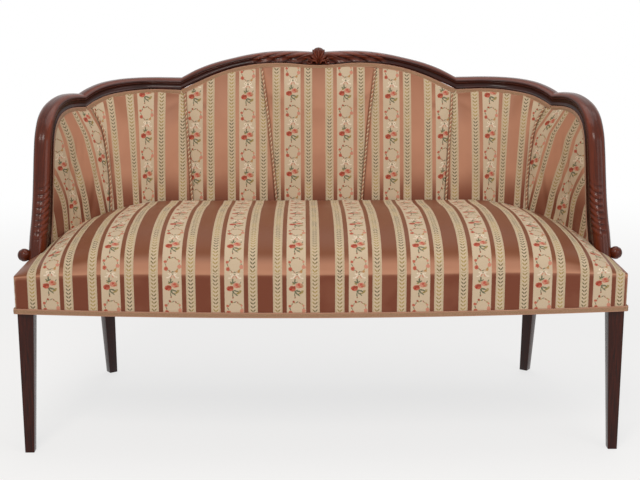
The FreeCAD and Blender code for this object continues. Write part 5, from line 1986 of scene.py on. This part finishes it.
@dataclass
class Studio:
    """A pale floor, a white surround, soft lamps, and the camera where the photograph was taken from."""

    eye: tuple[float, float, float] = (-0.0351, -2.7139, 1.0093)
    roll: float = -0.0128
    tilt: float = -0.2166
    swing: float = 0.0013
    focal: float = 1206.7
    frame_width: float = 640.0
    floor_colour: str = "F2F0EE"
    floor_white: float = 0.72

    def camera(self) -> None:
        """The camera, turned from straight ahead by its swing, tilt and roll."""
        lens = bpy.data.cameras.new("camera")
        lens.sensor_width = 36.0
        lens.lens = 36.0 * self.focal / self.frame_width
        camera = bpy.data.objects.new("camera", lens)
        bpy.context.scene.collection.objects.link(camera)
        turn = Matrix.Rotation(self.roll, 3, "Z") @ Matrix.Rotation(self.tilt, 3, "X") @ Matrix.Rotation(
            self.swing, 3, "Y"
        )
        right, ahead, up = turn.col
        axes = Matrix((right, up, -ahead)).transposed().to_4x4()
        camera.matrix_world = Matrix.Translation(Vector(self.eye)) @ axes
        bpy.context.scene.camera = camera

    def lamp(self, name: str, place: Sequence[float], size: float, power: float, colour: str) -> None:
        """A square soft lamp that points at the seat."""
        data = bpy.data.lights.new(name, "AREA")
        data.size, data.energy, data.color = size, power, linear(colour)[:3]
        lamp = bpy.data.objects.new(name, data)
        bpy.context.scene.collection.objects.link(lamp)
        lamp.location = place
        lamp.rotation_euler = (Vector((0, 0, 0.5)) - Vector(place)).to_track_quat("-Z", "Y").to_euler()

    def floor(self) -> None:
        """A wide pale floor, which the camera sees as nearly white and which still takes the shadow."""
        deselect()
        bpy.ops.mesh.primitive_plane_add(size=14)
        floor = bpy.context.object
        floor.name = "floor"
        graph = Graph("pale_floor")
        lit = graph.add("BsdfPrincipled", linear(self.floor_colour), Roughness=0.9, Specular_IOR_Level=0.1)
        path = graph.add("LightPath")
        seen = graph.calc("MAXIMUM", path.outputs["Is Camera Ray"], path.outputs["Is Glossy Ray"])
        seen = graph.calc("MAXIMUM", seen, path.outputs["Is Transmission Ray"])
        far = graph.add(
            "VectorMath", graph.add("TexCoord").outputs["Object"], operation="LENGTH"
        ).outputs["Value"]
        white = graph.add("MapRange", far, 1.0, 3.2, self.floor_white, 1.0, interpolation_type="SMOOTHSTEP")
        share = graph.calc("MULTIPLY", seen, white)
        graph.finish(graph.add("MixShader", share, lit, graph.add("Emission", linear("FFFFFF"), 1.0)))
        floor.data.materials.append(graph.material)

    def world(self) -> None:
        """Soft light all round, seen as white."""
        world = bpy.data.worlds.new("surround")
        bpy.context.scene.world = world
        world.use_nodes = True
        tree = world.node_tree
        tree.nodes.clear()
        path = tree.nodes.new("ShaderNodeLightPath")
        seen = [tree.nodes.new("ShaderNodeMath") for _ in range(2)]
        for node in seen:
            node.operation = "MAXIMUM"
        tree.links.new(path.outputs["Is Camera Ray"], seen[0].inputs[0])
        tree.links.new(path.outputs["Is Transmission Ray"], seen[0].inputs[1])
        tree.links.new(seen[0].outputs[0], seen[1].inputs[0])
        tree.links.new(path.outputs["Is Glossy Ray"], seen[1].inputs[1])
        light, white, mix = (
            tree.nodes.new("ShaderNode" + n) for n in ("Background", "Background", "MixShader")
        )
        light.inputs["Color"].default_value = linear("F3F1EF")
        light.inputs["Strength"].default_value = 0.34
        white.inputs["Strength"].default_value = 1.0
        white.inputs["Color"].default_value = (1, 1, 1, 1)
        tree.links.new(seen[1].outputs[0], mix.inputs[0])
        tree.links.new(light.outputs[0], mix.inputs[1])
        tree.links.new(white.outputs[0], mix.inputs[2])
        tree.links.new(mix.outputs[0], tree.nodes.new("ShaderNodeOutputWorld").inputs[0])

    def build(self) -> None:
        """Sets up floor, light and camera."""
        self.floor()
        self.world()
        self.lamp("key", (-0.7, -2.6, 2.9), 1.2, 52, "FFF8F0")
        self.lamp("fill", (2.0, -2.2, 1.3), 1.6, 16, "FFFFFF")
        self.lamp("top", (0.2, 0.4, 3.0), 2.0, 22, "FFFFFF")
        self.camera()
        bpy.context.scene.view_settings.view_transform = "Standard"


def main() -> None:
    """Builds the settee and its studio."""
    logging.basicConfig(level=logging.INFO, format="%(message)s")
    padding = Padding()
    dress_frame()
    ShowWood().build()
    LEGS.build()
    padding.build()
    Seat().build(padding)
    TRIMS.build(padding)
    Cloths().build()
    Studio().build()


if __name__ == "__main__":
    main()
